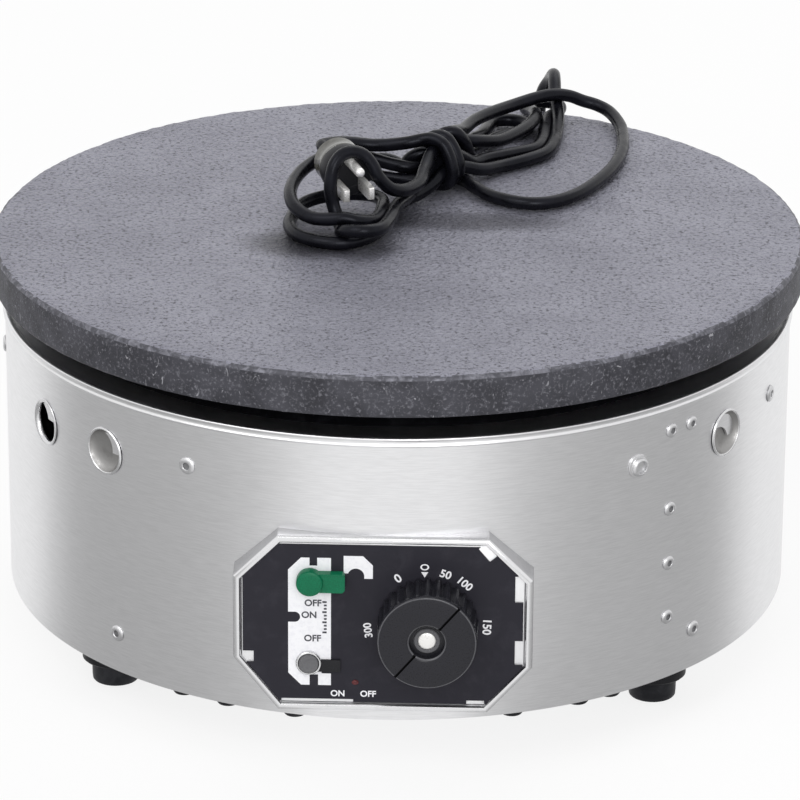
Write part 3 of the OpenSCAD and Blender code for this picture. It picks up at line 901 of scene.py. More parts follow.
@dataclass(frozen=True)
class IronSide(Finish):
    """Cast rim of the plate: dark slate with a sanded skin and pale nicks."""

    def draw(self, graph: Graph) -> None:
        """Draws the casting's skin, its clouds and its nicks.

        Args:
            graph: The material's graph.
        """
        skin = graph.noise(620, detail=6, roughness=0.7)
        clouds = graph.noise(55, detail=4, warp=0.5)
        nicks = graph.noise(1, graph.stretched(360, 360, 170), 3, 0.5, 1.5)
        slate = graph.mix(graph.spread(clouds, 0.3, 0.7), rgb(48, 48, 54), rgb(70, 70, 77))
        speckled = graph.mix(graph.spread(skin, 0.5, 0.7, 0, 0.85), slate, rgb(124, 124, 131))
        graph.set(
            Base_Color=graph.mix(
                graph.spread(nicks, 0.66, 0.74, 0, 0.8), speckled, rgb(172, 172, 178)
            ),
            Metallic=0.15,
            Roughness=graph.spread(skin, 0.3, 0.7, 0.48, 0.68),
            Specular_IOR_Level=0.35,
            Normal=graph.bump(skin, 0.4, 0.8),
        )


@dataclass(frozen=True)
class IronEdge(Finish):
    """Worn edge of the plate, rubbed bright in places and dark in others."""

    def draw(self, graph: Graph) -> None:
        """Draws the rubbed and the dark places.

        Args:
            graph: The material's graph.
        """
        rubbed = graph.noise(260, detail=5, roughness=0.65, warp=0.8)
        graph.set(
            Base_Color=graph.mix(
                graph.spread(rubbed, 0.4, 0.7), rgb(74, 74, 81), rgb(128, 128, 137)
            ),
            Metallic=0.4,
            Roughness=0.5,
            Normal=graph.bump(rubbed, 0.4, 0.7),
        )


@dataclass(frozen=True)
class Enamel(Finish):
    """Dark stoved coat on sheet steel.

    Attributes:
        colour: Colour of the coat.
        dust: Colour of the dust on it.
        roughness: Middle roughness.
        shine: Strength of its mirroring.
    """

    # The defaults belong to the parts in the gap under the plate: a dark coat, made darker still
    # as painted shade.
    colour: Colour = (0.003, 0.003, 0.004)
    dust: Colour = (0.011, 0.011, 0.013)
    roughness: float = 0.32
    shine: float = 0.02

    def draw(self, graph: Graph) -> None:
        """Draws the coat's orange peel and its dust.

        Args:
            graph: The material's graph.
        """
        peel = graph.noise(520, detail=3)
        dust = graph.noise(90, detail=5, roughness=0.65, warp=0.4)
        graph.set(
            Base_Color=graph.mix(graph.spread(dust, 0.45, 0.75), self.colour, self.dust),
            Roughness=graph.spread(dust, 0.4, 0.8, self.roughness, self.roughness + 0.2),
            Specular_IOR_Level=self.shine,
            Normal=graph.bump(peel, 0.02, 0.5),
        )


@dataclass(frozen=True)
class Moulded(Finish):
    """Moulded plastic with a spark-eroded skin.

    Attributes:
        colour: Colour of the plastic.
        shade: Colour in the skin's hollows.
        roughness: Middle roughness.
        skin: Grain of the skin in a metre.
        relief: Depth of the skin in millimetres.
        shine: Strength of its mirroring.
    """

    colour: Colour = (0.02, 0.02, 0.022)
    shade: Colour = (0.012, 0.012, 0.014)
    roughness: float = 0.42
    skin: float = 1500
    relief: float = 0.02
    shine: float = 0.25

    def draw(self, graph: Graph) -> None:
        """Draws the skin and faint flow clouds.

        Args:
            graph: The material's graph.
        """
        skin = graph.noise(self.skin, detail=3, roughness=0.6)
        flow = graph.noise(110, detail=3, warp=0.5)
        base = graph.mix(graph.spread(skin, 0.3, 0.7), self.shade, self.colour)
        graph.set(
            Base_Color=graph.mix(graph.spread(flow, 0.4, 0.8, 0, 0.4), base, self.shade),
            Roughness=graph.spread(
                skin, 0.25, 0.75, self.roughness - 0.06, self.roughness + 0.08
            ),
            Specular_IOR_Level=self.shine,
            Normal=graph.bump(skin, self.relief, 0.4),
        )


@dataclass(frozen=True)
class Rubber(Finish):
    """Soft rubber with a dull bloom.

    Attributes:
        colour: Colour of the rubber.
        bloom: Colour of the bloom.
        roughness: Middle roughness.
        shine: Strength of its mirroring.
    """

    colour: Colour = (0.012, 0.012, 0.013)
    bloom: Colour = (0.034, 0.034, 0.037)
    roughness: float = 0.45
    shine: float = 0.3

    def draw(self, graph: Graph) -> None:
        """Draws the bloom and the rubber's fine skin.

        Args:
            graph: The material's graph.
        """
        bloom = graph.noise(130, detail=5, roughness=0.6, warp=0.4)
        skin = graph.noise(1700, detail=3)
        graph.set(
            Base_Color=graph.mix(graph.spread(bloom, 0.35, 0.75), self.colour, self.bloom),
            Roughness=graph.spread(bloom, 0.3, 0.7, self.roughness - 0.06, self.roughness + 0.1),
            Specular_IOR_Level=self.shine,
            Specular_Tint=(0.84, 0.87, 1.0, 1.0),
            Normal=graph.bump(skin, 0.03, 0.4),
        )


@dataclass(frozen=True)
class Ink(Finish):
    """Screen-printed ink, slightly uneven.

    Attributes:
        colour: Colour of the ink.
        thin: Colour where it is thin.
    """

    colour: Colour = (0.82, 0.82, 0.84)
    thin: Colour = (0.7, 0.7, 0.73)

    def draw(self, graph: Graph) -> None:
        """Draws the ink's uneven cover.

        Args:
            graph: The material's graph.
        """
        cover = graph.noise(500, detail=4, roughness=0.6)
        graph.set(
            Base_Color=graph.mix(graph.spread(cover, 0.4, 0.75), self.colour, self.thin),
            Roughness=0.5,
            Specular_IOR_Level=0.2,
            Normal=graph.bump(cover, 0.008, 0.4),
        )


@dataclass(frozen=True)
class Felt(Finish):
    """Pressed ceramic fibre."""

    def draw(self, graph: Graph) -> None:
        """Draws the tangled fibres.

        Args:
            graph: The material's graph.
        """
        fibres = graph.noise(1, graph.stretched(300, 900, 300), 5, 0.7, 2.5)
        graph.set(
            Base_Color=graph.mix(
                graph.spread(fibres, 0.3, 0.7), (0.5, 0.46, 0.38), (0.78, 0.75, 0.67)
            ),
            Roughness=0.95,
            Normal=graph.bump(fibres, 0.4, 0.8),
        )


@dataclass(frozen=True)
class WirePlastic(Finish):
    """Insulation of the inner wires: brown at the sides, blue and green between."""

    def draw(self, graph: Graph) -> None:
        """Draws the wires' colours across the drum and their soft skin.

        Args:
            graph: The material's graph.
        """
        across = graph.noise(26, graph.stretched(1, 0.2, 0.1), 0)
        skin = graph.noise(900, detail=3)
        cold = graph.mix(graph.spread(skin, 0.3, 0.7), (0.02, 0.06, 0.3), (0.03, 0.08, 0.36))
        warm = graph.mix(graph.spread(skin, 0.3, 0.7), (0.13, 0.05, 0.02), (0.17, 0.07, 0.03))
        graph.set(
            Base_Color=graph.mix(graph.spread(across, 0.49, 0.51), warm, cold),
            Roughness=0.4,
            Normal=graph.bump(skin, 0.02, 0.4),
        )


STEEL = BrushedSteel("brushed_steel")
PANEL_STEEL = PlainMetal("panel_steel", (0.77, 0.77, 0.78), (0.68, 0.68, 0.7), 0.2)
# Darker copy of the panel steel for the frame's skirt: painted shade.
SKIRT_SHADE_STEEL = PlainMetal("skirt_steel_painted_shade", (0.52, 0.52, 0.53), (0.44, 0.44, 0.46), 0.34)
BRIGHT = PlainMetal("polished_steel", (0.72, 0.72, 0.73), (0.56, 0.56, 0.58), 0.24)
RIVET = PlainMetal("rivet_steel", (0.66, 0.66, 0.67), (0.5, 0.5, 0.51), 0.38)
# Darker steel for the plugs' dishes: painted shade.
DISH_SHADE_STEEL = PlainMetal("dish_steel_painted_shade", (0.36, 0.355, 0.35), (0.27, 0.265, 0.26), 0.42)
# Darker steel for the rivets' hollows: painted shade.
RIVET_HOLLOW_SHADE = PlainMetal("rivet_hollow_shade", (0.3, 0.3, 0.31), (0.2, 0.2, 0.21), 0.42)
ZINC = PlainMetal("zinc_plate", (0.52, 0.53, 0.56), (0.38, 0.39, 0.42), 0.36)
SHEATH = PlainMetal("element_sheath", (0.2, 0.15, 0.11), (0.1, 0.08, 0.07), 0.5, 500, 0.02)
NICKEL = PlainMetal("nickel_plate", (0.88, 0.87, 0.85), (0.76, 0.75, 0.72), 0.3, 900, 0.006, 0.6)
BACKING = PlainMetal("backing_sheet", (0.94, 0.94, 0.95), (0.88, 0.88, 0.9), 0.4, 900, 0.004, 0.5)
COPPER = PlainMetal("drawn_copper", (0.64, 0.33, 0.2), (0.4, 0.2, 0.13), 0.3)
BRASS = PlainMetal("turned_brass", (0.62, 0.45, 0.19), (0.42, 0.3, 0.13), 0.3)
IRON_TOP = IronTop("iron_top")
IRON_SIDE = IronSide("iron_side")
IRON_EDGE = IronEdge("iron_edge")
# Dark stoved coat on the parts in the gap under the plate, darkened further as painted shade.
ENAMEL_GAP_SHADE = Enamel("stoved_enamel_gap_shade")
FACE_FILM = Enamel("faceplate_film", rgb(44, 43, 50), rgb(52, 51, 58), 0.34, 0.12)
BLACK_PLASTIC = Moulded("black_moulding", rgb(34, 34, 38), rgb(24, 24, 27))
KNOB_PLASTIC = Moulded("knob_moulding", rgb(35, 35, 41), rgb(32, 32, 37), 0.3, 1500, 0.003, 0.28)
# Lighter plastic for the knob face's rim and the hub recess's lip: painted highlight.
KNOB_EDGE_HIGHLIGHT = Moulded("knob_edge_highlight", rgb(92, 92, 96), rgb(78, 78, 82), 0.3, 1500, 0.01, 0.4)
# Near-black plastic for the knob's slit: painted shade.
SLOT_SHADE = Moulded("slot_painted_shade", rgb(8, 8, 9), rgb(4, 4, 5), 0.6, 1500, 0.02, 0.05)
COLLAR_PLASTIC = Moulded("collar_moulding", rgb(98, 98, 101), rgb(84, 84, 87), 0.35)
GREEN_PLASTIC = Moulded("lever_moulding", rgb(8, 114, 78), rgb(4, 98, 66), 0.36)
GREY_PLASTIC = Moulded("button_moulding", rgb(112, 112, 114), rgb(98, 98, 101), 0.4)
CREAM_PLASTIC = Moulded("cream_moulding", rgb(226, 220, 202), rgb(208, 200, 180), 0.45)
PLUG_SHELL = Moulded("plug_shell", rgb(98, 97, 92), rgb(74, 73, 68), 0.14, 300, 0.05, 0.6)
RED_LENS = Moulded("lamp_lens_finish", rgb(104, 52, 54), rgb(78, 34, 36), 0.22)
RUBBER = Rubber("foot_rubber")
CORD_RUBBER = Rubber("cord_rubber", rgb(10, 10, 14), rgb(19, 19, 25), 0.27, 0.18)
WHITE_INK = Ink("white_ink", rgb(246, 246, 249), rgb(236, 236, 241))
DARK_INK = Ink("dark_ink", rgb(70, 70, 76), rgb(96, 96, 102))
FELT = Felt("fibre_felt")
WIRE = WirePlastic("wire_insulation")

SLOT_FINISH: dict[str, Finish] = {
    "cast_iron": IRON_SIDE,
    "stainless": STEEL,
    "bright_steel": BRIGHT,
    "dark_steel": ENAMEL_GAP_SHADE,
    "zinc_steel": ZINC,
    "element_steel": SHEATH,
    "fibre": FELT,
    "rubber": RUBBER,
    "black_film": FACE_FILM,
    "black_plastic": BLACK_PLASTIC,
    "green_plastic": GREEN_PLASTIC,
    "grey_plastic": GREY_PLASTIC,
    "cream_plastic": CREAM_PLASTIC,
    "red_lens": RED_LENS,
    "copper": COPPER,
    "brass": BRASS,
    "wire_pvc": WIRE,
    "plug_metal": NICKEL,
}


def dressed(
    obj: Piece,
    finish: Finish,
    replaces: Sequence[str] = (),
    smooth: float = 35,
    body: Body = Body.COOKER,
) -> Piece:
    """Gives a piece its finish and hangs it on its body in the frame.

    Args:
        obj: The piece.
        finish: Its finish, where its faces have none yet.
        replaces: The frame's nodes that it stands for.
        smooth: Largest angle that is shaded smooth, in degrees.
        body: The body it rides on.

    Returns:
        The same piece.
    """
    if not obj.data.materials:
        obj.data.materials.append(finish.material())
    if obj.type == "MESH":
        take(obj)
        bpy.ops.object.shade_smooth_by_angle(angle=math.radians(smooth))
    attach(obj, body.value)
    if replaces:
        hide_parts(*replaces)
    LOG.info("%s rides on %s", obj.name, body.value)
    return obj


def painted(
    obj: Piece,
    finishes: Sequence[Finish],
    choose: Callable[[Vector, Vector], int],
) -> Piece:
    """Gives each face of a piece one of several finishes.

    Args:
        obj: The piece.
        finishes: The finishes.
        choose: Takes a face's middle in millimetres and its normal, and gives a number.

    Returns:
        The same piece.
    """
    obj.data.materials.clear()
    for finish in finishes:
        obj.data.materials.append(finish.material())
    for face in obj.data.polygons:
        face.material_index = choose(face.center / MM, face.normal)
    return obj


# ---------------------------------------------------------------- cord


CORD_ROUTE: Sequence[Point] = (
    (67.7, 213.4, 183), (69.4, 212.1, 200.7), (73.3, 206.4, 209.9), (75.3, 196.3, 216.3),
    (75.9, 186.1, 216.2), (76.3, 176.5, 212.2), (78.1, 160.7, 205.6), (77.6, 143, 203),
    (76.4, 125.1, 203.2), (72, 107.7, 203.1), (61.8, 94.8, 203.4), (49.4, 84.9, 203.4),
    (39.1, 73.1, 205.6), (30.4, 67.2, 209), (24.3, 62.1, 210.4), (20, 55, 209.6),
    (15.8, 48.9, 206.2), (9.3, 41.8, 203.4), (-0.2, 27.9, 203.1), (-4, 10.4, 203.2),
    (-6.7, -7.4, 203.2), (-14.2, -23.6, 203.2), (-23.1, -30.9, 203), (-30.8, -32, 203),
    (-38.4, -29.9, 203.1), (-47.7, -23.1, 203.2), (-52.8, -11.1, 203.2), (-52.8, 2.4, 203.7),
    (-47.7, 19.4, 205), (-38.3, 27.3, 205.9), (-26.1, 28.9, 207), (-14.9, 23.9, 208.4),
    (-8.8, 14, 209.7), (-7.8, 2.2, 210.3), (-9.9, -13.9, 209.9), (-13, -20.6, 210.6),
    (-18.8, -25, 212.1), (-25.9, -25.5, 213.7), (-34, -24.8, 212.7), (-42.4, -21.3, 212.4),
    (-49.9, -12.8, 214.2), (-53.2, -0.8, 216.2), (-52.4, 16.7, 217.4), (-47.4, 33.9, 218.7),
    (-37.9, 49.1, 219.7), (-27.4, 58.3, 218.2), (-17.2, 59.8, 215.7), (-7.3, 56.7, 213.9),
    (-0.4, 54.7, 213.1), (5.3, 55.7, 212.1), (9.7, 59.6, 211.8), (12.6, 64.8, 211.6),
    (15.5, 69.5, 209.5), (19.4, 71.3, 205.5), (24.6, 69.8, 203.3), (29, 66.1, 203),
    (32.4, 61.2, 203.3), (35.8, 52.9, 203.7), (46, 39.1, 203.2), (61.4, 30.2, 203.2),
    (72.5, 30.9, 203.2), (81.8, 37.2, 203.2), (90.3, 48.4, 203.2), (98.3, 64.4, 203.2),
    (104.6, 81.3, 203.2), (108.9, 98.7, 203.2), (111.2, 116.6, 203.2), (111.4, 134.5, 203.4),
    (109.9, 152.4, 204), (103.9, 169, 205.7), (97.9, 173.3, 207.4), (90.6, 173.6, 209.5),
    (84, 170.9, 212.8), (76, 166.9, 214.8), (67.5, 163.3, 214.3), (53.3, 152.7, 212.9),
    (42.9, 138, 213.8), (34.7, 122.1, 214.8), (29.5, 104.9, 215.8), (24.7, 88.2, 220.1),
    (23.4, 79.1, 219.4), (23.1, 73.3, 218.7), (21.4, 67.9, 220.6), (18.9, 62.5, 221),
    (15.2, 55.1, 220.6), (12, 42.4, 216.6), (9.3, 24.8, 214.6), (1.6, 8.9, 216.3),
    (-4.4, 2.9, 219.7), (-9.7, 0.5, 225.9), (-13.6, 1, 233), (-17.5, 1.2, 237.2),
    (-22.8, -0.2, 239.3), (-28, -2.6, 238.1), (-31.3, -5.4, 234.1), (-32.7, -7, 228.7),
    (-33.1, -7.8, 222), (-31.7, -8.3, 214), (-29.7, -10.6, 208.9), (-27.8, -15.5, 205.8),
    (-26.8, -21.4, 205.6), (-27.1, -27.3, 207.4), (-25.3, -32.5, 209.7), (-20.9, -36.1, 210.9),
    (-15.1, -36.8, 211.2), (-9.8, -34, 210.9), (-6.7, -29, 210.5), (-5.1, -23, 210.3),
    (-3.1, -12.4, 210.1), (-1, 5.5, 209.4), (4.1, 22.5, 208.6), (8.3, 39.7, 209.5),
    (15.8, 55, 214.2), (26.2, 67.3, 215.6), (30.2, 73.7, 211.8), (35.2, 80.6, 207),
    (41.9, 90.3, 205.6), (55.2, 102.3, 204.3), (66.6, 113.7, 203.2), (70.2, 127.2, 203.1),
    (71.2, 145.2, 203.5), (72.6, 163, 203.1), (78.4, 175.4, 203), (79, 181.2, 203.5),
    (76.4, 186.2, 203.3), (71.6, 188.7, 203.4), (66.4, 187.7, 203.4), (62.3, 183.6, 203.4),
    (60.8, 177.9, 203.6), (62.2, 172.3, 204.4), (64.3, 166.9, 205.8), (66.6, 153.4, 207.9),
    (63.6, 137.4, 208.3), (56.7, 120.8, 208.8), (47.6, 105.3, 210), (36.1, 92.4, 214.1),
    (30.1, 88.5, 215.4), (25, 83.4, 213.9), (20.6, 77.3, 213.1), (17.7, 69.4, 215.4),
    (15, 64.4, 217.1), (10.1, 61.4, 218), (4.7, 61.1, 215.8), (1.2, 62.7, 211.4), (-0, 67, 207.7),
    (-0.9, 72.7, 207.1), (-5, 77, 207.9), (-10.7, 78.2, 208.6), (-16.2, 76.1, 208.4),
    (-19.4, 71.2, 207.7), (-19.7, 65.3, 207.1), (-16.4, 60.4, 206.8), (-11.4, 57.2, 206.7),
    (-4.6, 54.3, 206.6), (4.1, 52.7, 206.4), (10.5, 54.1, 207.1), (15.1, 58.4, 208.8),
    (18.6, 63.9, 210), (22.9, 69.8, 210.3), (24.9, 76.5, 208.2), (25.2, 83.8, 207.5),
    (26.9, 95.1, 208.4), (32.2, 112.2, 207.2), (38.5, 128.9, 205.1), (41.9, 146.5, 203.8),
    (43.4, 152.6, 203.6), (47.2, 157.2, 203.4), (52.9, 158.8, 203.2), (58.4, 157, 203.1),
    (62.1, 152.4, 203), (62.4, 146.5, 203), (59.6, 141.3, 203), (54.8, 137, 203.2),
    (48, 130.6, 203.5), (39.6, 114.9, 204.6), (34.4, 97.8, 206.7), (32.9, 87.2, 209.5),
    (31.5, 80.3, 215.8), (29.4, 77.5, 220.6), (25.4, 75.6, 224.4), (19.7, 74.7, 223.5),
    (15.3, 74.2, 219.5), (12.1, 73.7, 214.5), (10.4, 72.6, 208.9), (12.1, 69.4, 204.4),
    (16.9, 66.1, 203.2), (22, 63, 203.7), (26.5, 59.8, 205.7), (28.6, 58.3, 210.9),
    (27.5, 58.7, 216.8), (25.1, 60.1, 222), (21.4, 62.2, 226.1), (16.3, 64.9, 225.8),
    (12, 66.9, 222.2), (8.8, 67.6, 217.2), (7, 66.8, 211.6), (8.8, 64.3, 206.7),
    (12.9, 61.2, 203.8), (17.9, 58, 203), (22.8, 54.9, 204.2), (25.6, 52.8, 208.8),
    (25, 52.9, 214.7), (23.1, 53.9, 220.3), (20, 55.3, 225.2), (14.9, 57.3, 226.9),
    (9.3, 58.3, 225.9), (3.4, 57.4, 224.8), (-2.8, 57.8, 223.7), (-8.8, 58.2, 222.9),
    (-14.3, 58.4, 222.7), (-19.3, 57.9, 223.3), (-24.1, 56.7, 224.2), (-28.5, 54.8, 225.1),
    (-32.4, 52.2, 225.9), (-36.1, 49.1, 226.4), (-39.7, 45.8, 226.6), (-36.8, 40, 226.2),
)


@dataclass
class MainsCord:
    """Mains cord that comes up behind the plate and lies on it, tied with its own end.

    Attributes:
        diameter: Diameter of the cord.
        step: Longest step along its centreline.
        outlet: Plan place of the outlet, under the cord's first point.
        ribs: Rings of the bend relief.
        route: Points that the centreline goes through, from the outlet to the plug.
        length: Length of the cord, in metres; not used.
    """

    diameter: float = 6.6
    step: float = 2.5
    outlet: Pair = (67.7, 213.4)
    ribs: int = 7
    route: Sequence[Point] = CORD_ROUTE
    length: float = 2.15

    def centreline(self) -> list[Vector]:
        """Points close together on a smooth curve through the route.

        Returns:
            The points, in metres.
        """
        knots = [Vector(point) for point in self.route]
        line: list[Vector] = []
        for index in range(len(knots) - 1):
            second, third = knots[index], knots[index + 1]
            first = knots[index - 1] if index else 2 * second - third
            fourth = knots[index + 2] if index + 2 < len(knots) else 2 * third - second
            times = [0.0]
            for start, end in ((first, second), (second, third), (third, fourth)):
                times.append(times[-1] + math.sqrt((end - start).length))
            steps = max(2, math.ceil((third - second).length / self.step))
            for count in range(steps):
                now = times[1] + (times[2] - times[1]) * count / steps
                line.append(self.blend([first, second, third, fourth], times, now))
        line.append(knots[-1])
        return [point * MM for point in line]

    @staticmethod
    def blend(knots: Sequence[Vector], times: Sequence[float], now: float) -> Vector:
        """Point of a centripetal curve between its two middle knots.

        Args:
            knots: Four knots.
            times: Their times.
            now: The time of the point.

        Returns:
            The point.
        """
        row = list(knots)
        for span in (1, 2):
            row = [
                row[i].lerp(row[i + 1], (now - times[i]) / (times[i + span] - times[i]))
                for i in range(len(row) - 1)
            ]
        share = (now - times[1]) / (times[2] - times[1])
        return row[0].lerp(row[1], share)

    def build(self, plug: Sequence[Piece]) -> None:
        """Args:
            plug: The plug's pieces, which are on the cord's end; not used.
        """
        line = self.centreline()
        curve = bpy.data.curves.new("mains_cord", "CURVE")
        curve.dimensions = "3D"
        curve.bevel_depth = self.diameter / 2 * MM
        curve.bevel_resolution = 6
        curve.use_fill_caps = True
        spline = curve.splines.new("POLY")
        spline.points.add(len(line) - 1)
        for point, place in zip(spline.points, line):
            point.co = (*place, 1)
        spline.use_smooth = True
        cord = linked("mains_cord", curve)
        parts = ("cord_lead", "cord_hank", "cord_coil", "cord_tie", "cord_tail")
        dressed(cord, CORD_RUBBER, parts)
        measured = sum((end - start).length for start, end in zip(line, line[1:]))
        LOG.info("the cord is %.3f m long", measured)
        relief = self.bend_relief()

    def bend_relief(self) -> Piece:
        """Tapered sleeve with rings, where the cord leaves its outlet.

        Returns:
            The sleeve.
        """
        low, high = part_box("bend_relief")
        start, end = low.z / MM, high.z / MM
        pitch = (end - start - 6) / self.ribs
        neck = self.diameter / 2 + 0.05
        groove, taper = 0.75, 1.75
        rings = [(neck, start + 0.1), (6.1, start + 0.1), (6.3, start + 0.5), (6.3, start + 4)]
        for count in range(self.ribs):
            foot = start + 4 + pitch * count
            radius = 6.1 - taper * (count + 1) / self.ribs
            rings += [
                (radius - groove, foot + 0.25), (radius - groove, foot + 0.4 * pitch),
                (radius + 0.05, foot + 0.5 * pitch), (radius, foot + pitch - 0.2),
            ]
        rings += [(4.1, end - 1.2), (3.9, end), (neck, end), (neck, start + 0.1)]
        place = Matrix.Translation(Vector((*self.outlet, 0)) * MM)
        relief = turned("bend_relief_sleeve", rings, 40, place)
        return dressed(relief, RUBBER, ["bend_relief"], 50)


@dataclass
class Plug:
    """Moulded plug with two flat blades and a round earth pin.

    Attributes:
        tail: Where the cord goes into it.
        turn: Turn of its axis from the front, in degrees.
        radius: Radius of its body.
        length: Length of its body.
        shell: Length of the rear shell.
        blade_gap: Distance between the blades.
        blade: Width, thickness and length of a blade.
        earth: Radius and length of the earth pin.
        rise: Distance of the earth pin and the blades from the middle.
    """

    tail: Point = (-37.0, 40.0, 226.2)
    turn: float = 20
    radius: float = 12.5
    length: float = 36
    shell: float = 27
    blade_gap: float = 12.7
    blade: Triple = (6.35, 3.2, 17.5)
    earth: Pair = (2.4, 20)
    rise: float = 6

    def place(self) -> Matrix:
        """Place of the plug's tail, with +Z the way its pins point.

        Returns:
            The matrix of that place.
        """
        return (
            Matrix.Translation(Vector(self.tail) * MM)
            @ spun(self.turn)
            @ Matrix.Rotation(math.pi / 2, 4, "X")
        )

    def build(self) -> list[Piece]:
        """Makes the body and the pins.

        Returns:
            The two pieces.
        """
        return [self.body(), self.pins()]

    def body(self) -> Piece:
        """Makes the rear shell with a grip waist, and the dark face that holds the pins.

        Returns:
            The body.
        """
        r, end, step = self.radius, self.length, self.shell
        rings = [
            (0, 0.4), (4.2, 0.4), (4.5, 1.2), (4.7, 5), (5.4, 8), (7.4, 11.2), (10.2, 13.8),
            (11.7, 16), (11.4, 18.6), (11.2, 21), (11.6, 23.4), (r - 0.3, step - 1.2),
            (r - 0.3, step - 0.3), (r - 0.9, step), (r - 0.9, step + 0.5), (r - 0.1, step + 0.8),
            (r, step + 1.4), (r, end - 1), (r - 0.4, end - 0.3), (r - 1.2, end), (8, end),
            (7.6, end - 0.4), (0, end - 0.4),
        ]
        shell = turned("plug_moulding", rings, 56)
        painted(
            shell, (PLUG_SHELL, BLACK_PLASTIC), lambda at, _: int(at.z > step + 0.2 or at.z < 5)
        )
        settled(shell, self.place())
        return dressed(shell, PLUG_SHELL, ["plug_body"], 40)

    def pins(self) -> Piece:
        """Makes two blades with sloped tips and the earth pin with a rounded one.

        Returns:
            The three pins as one piece.
        """
        wide, thick, long = self.blade
        end, bevel, slope = self.length - 0.4, 0.35, 1.1
        pins = []
        for side in (-1, 1):
            middle = side * self.blade_gap / 2
            blade = block(
                "blade",
                (middle - thick / 2, -self.rise - wide / 2, end),
                (middle + thick / 2, -self.rise + wide / 2, self.length + long),
            )
            with editing(blade, Part.FACES):
                pick(blade, Part.FACES, lambda at, normal: normal.z > 0.9)
                bpy.ops.mesh.inset(thickness=bevel * MM, depth=0)
                pick(
                    blade,
                    Part.VERTS,
                    lambda at, _: at.z > end + long and abs(at.x - middle) > thick / 2 - 0.1,
                )
                bpy.ops.transform.translate(value=(0, 0, -slope * MM))
            pins.append(bevelled(blade, 0.15, 2))
        r, long = self.earth
        tip = self.length + long
        rings = [
            (0, end), (r, end), (r, tip - 2.2), (r - 0.2, tip - 1.2), (r - 0.8, tip - 0.3),
            (r - 1.4, tip), (0, tip),
        ]
        pins.append(turned("earth", rings, 32, Matrix.Translation((0, self.rise * MM, 0))))
        whole = settled(joined("plug_blades", pins), self.place())
        return dressed(whole, NICKEL, ["plug_pins"])


# ---------------------------------------------------------------- griddle and drum


@dataclass
class Griddle:
    """Cast-iron plate with a worn, slightly wavy edge.

    Attributes:
        radius: Radius of the plate.
        low: Height of its underside.
        high: Height of its cooking face.
        edge: Width of the worn edge.
        wear: Depth of the waves in it, and their size.
        rubbed: Depths under the cooking face where its finish starts and ends.
        sides: Points round it.
    """

    radius: float = 200
    low: float = 179.2
    high: float = 199.7
    edge: float = 2.2
    wear: Pair = (1.1, 6)
    rubbed: Pair = (0.35, 1.9)
    sides: int = 480

    def build(self) -> None:
        """Turns the plate, wears its edge and dresses it."""
        r, low, high, edge = self.radius, self.low, self.high, self.edge
        rings = [
            (0, low), (60, low), (130, low), (r - 8, low), (r - 1.4, low), (r - 0.4, low + 0.4),
            (r - 0.1, low + 1.3), (r - 0.2, low + 5), (r - 0.1, low + 9), (r - 0.2, low + 13),
            (r - 0.2, high - 3.4), (r - 0.3, high - 2.2), (r - 0.7, high - 1.2),
            (r - 1.3, high - 0.5), (r - edge, high - 0.1), (r - edge - 1, high),
            (r - edge - 3, high), (r - 12, high), (r - 30, high), (r - 60, high), (r - 100, high),
            (r - 150, high), (0, high),
        ]
        plate = turned("griddle_casting", rings, self.sides)
        self.worn(plate)
        painted(plate, (IRON_SIDE, IRON_TOP, IRON_EDGE), self.zone)
        dressed(plate, IRON_SIDE, ["griddle_plate"], 60)

    def worn(self, plate: Piece) -> None:
        """Roughens the edge and the side with a cloud pattern.

        Args:
            plate: The turned plate.
        """
        (depth, size), side, inner = self.wear, 0.4, self.radius - self.edge - 1.5
        group = plate.vertex_groups.new(name="skin")
        for vert in plate.data.vertices:
            reach = off_axis(vert.co) / MM
            height = vert.co.z / MM
            near = reach > inner and height > self.low + 0.2
            share = 1.0 if near and height > self.high - 2.5 else side if near else 0.0
            group.add([vert.index], share, "REPLACE")
        clouds = bpy.data.textures.new("casting_clouds", "CLOUDS")
        clouds.noise_scale = size * MM
        clouds.noise_depth = 2
        rough = plate.modifiers.new("skin", "DISPLACE")
        rough.texture = clouds
        rough.texture_coords = "LOCAL"
        rough.vertex_group = "skin"
        rough.strength = depth * MM
        rough.mid_level = 0.62
        apply_all(plate)
        plate.vertex_groups.clear()

    def zone(self, at: Vector, normal: Vector) -> int:
        """Chooses the finish of a face of the plate.

        Args:
            at: The face's middle, in millimetres.
            normal: Its normal.

        Returns:
            0 on the side, 1 on top and 2 on the worn edge.
        """
        start, end = self.rubbed
        if at.z > self.high - start and normal.z > 0.8:
            return 1
        return 2 if at.z > self.high - end else 0


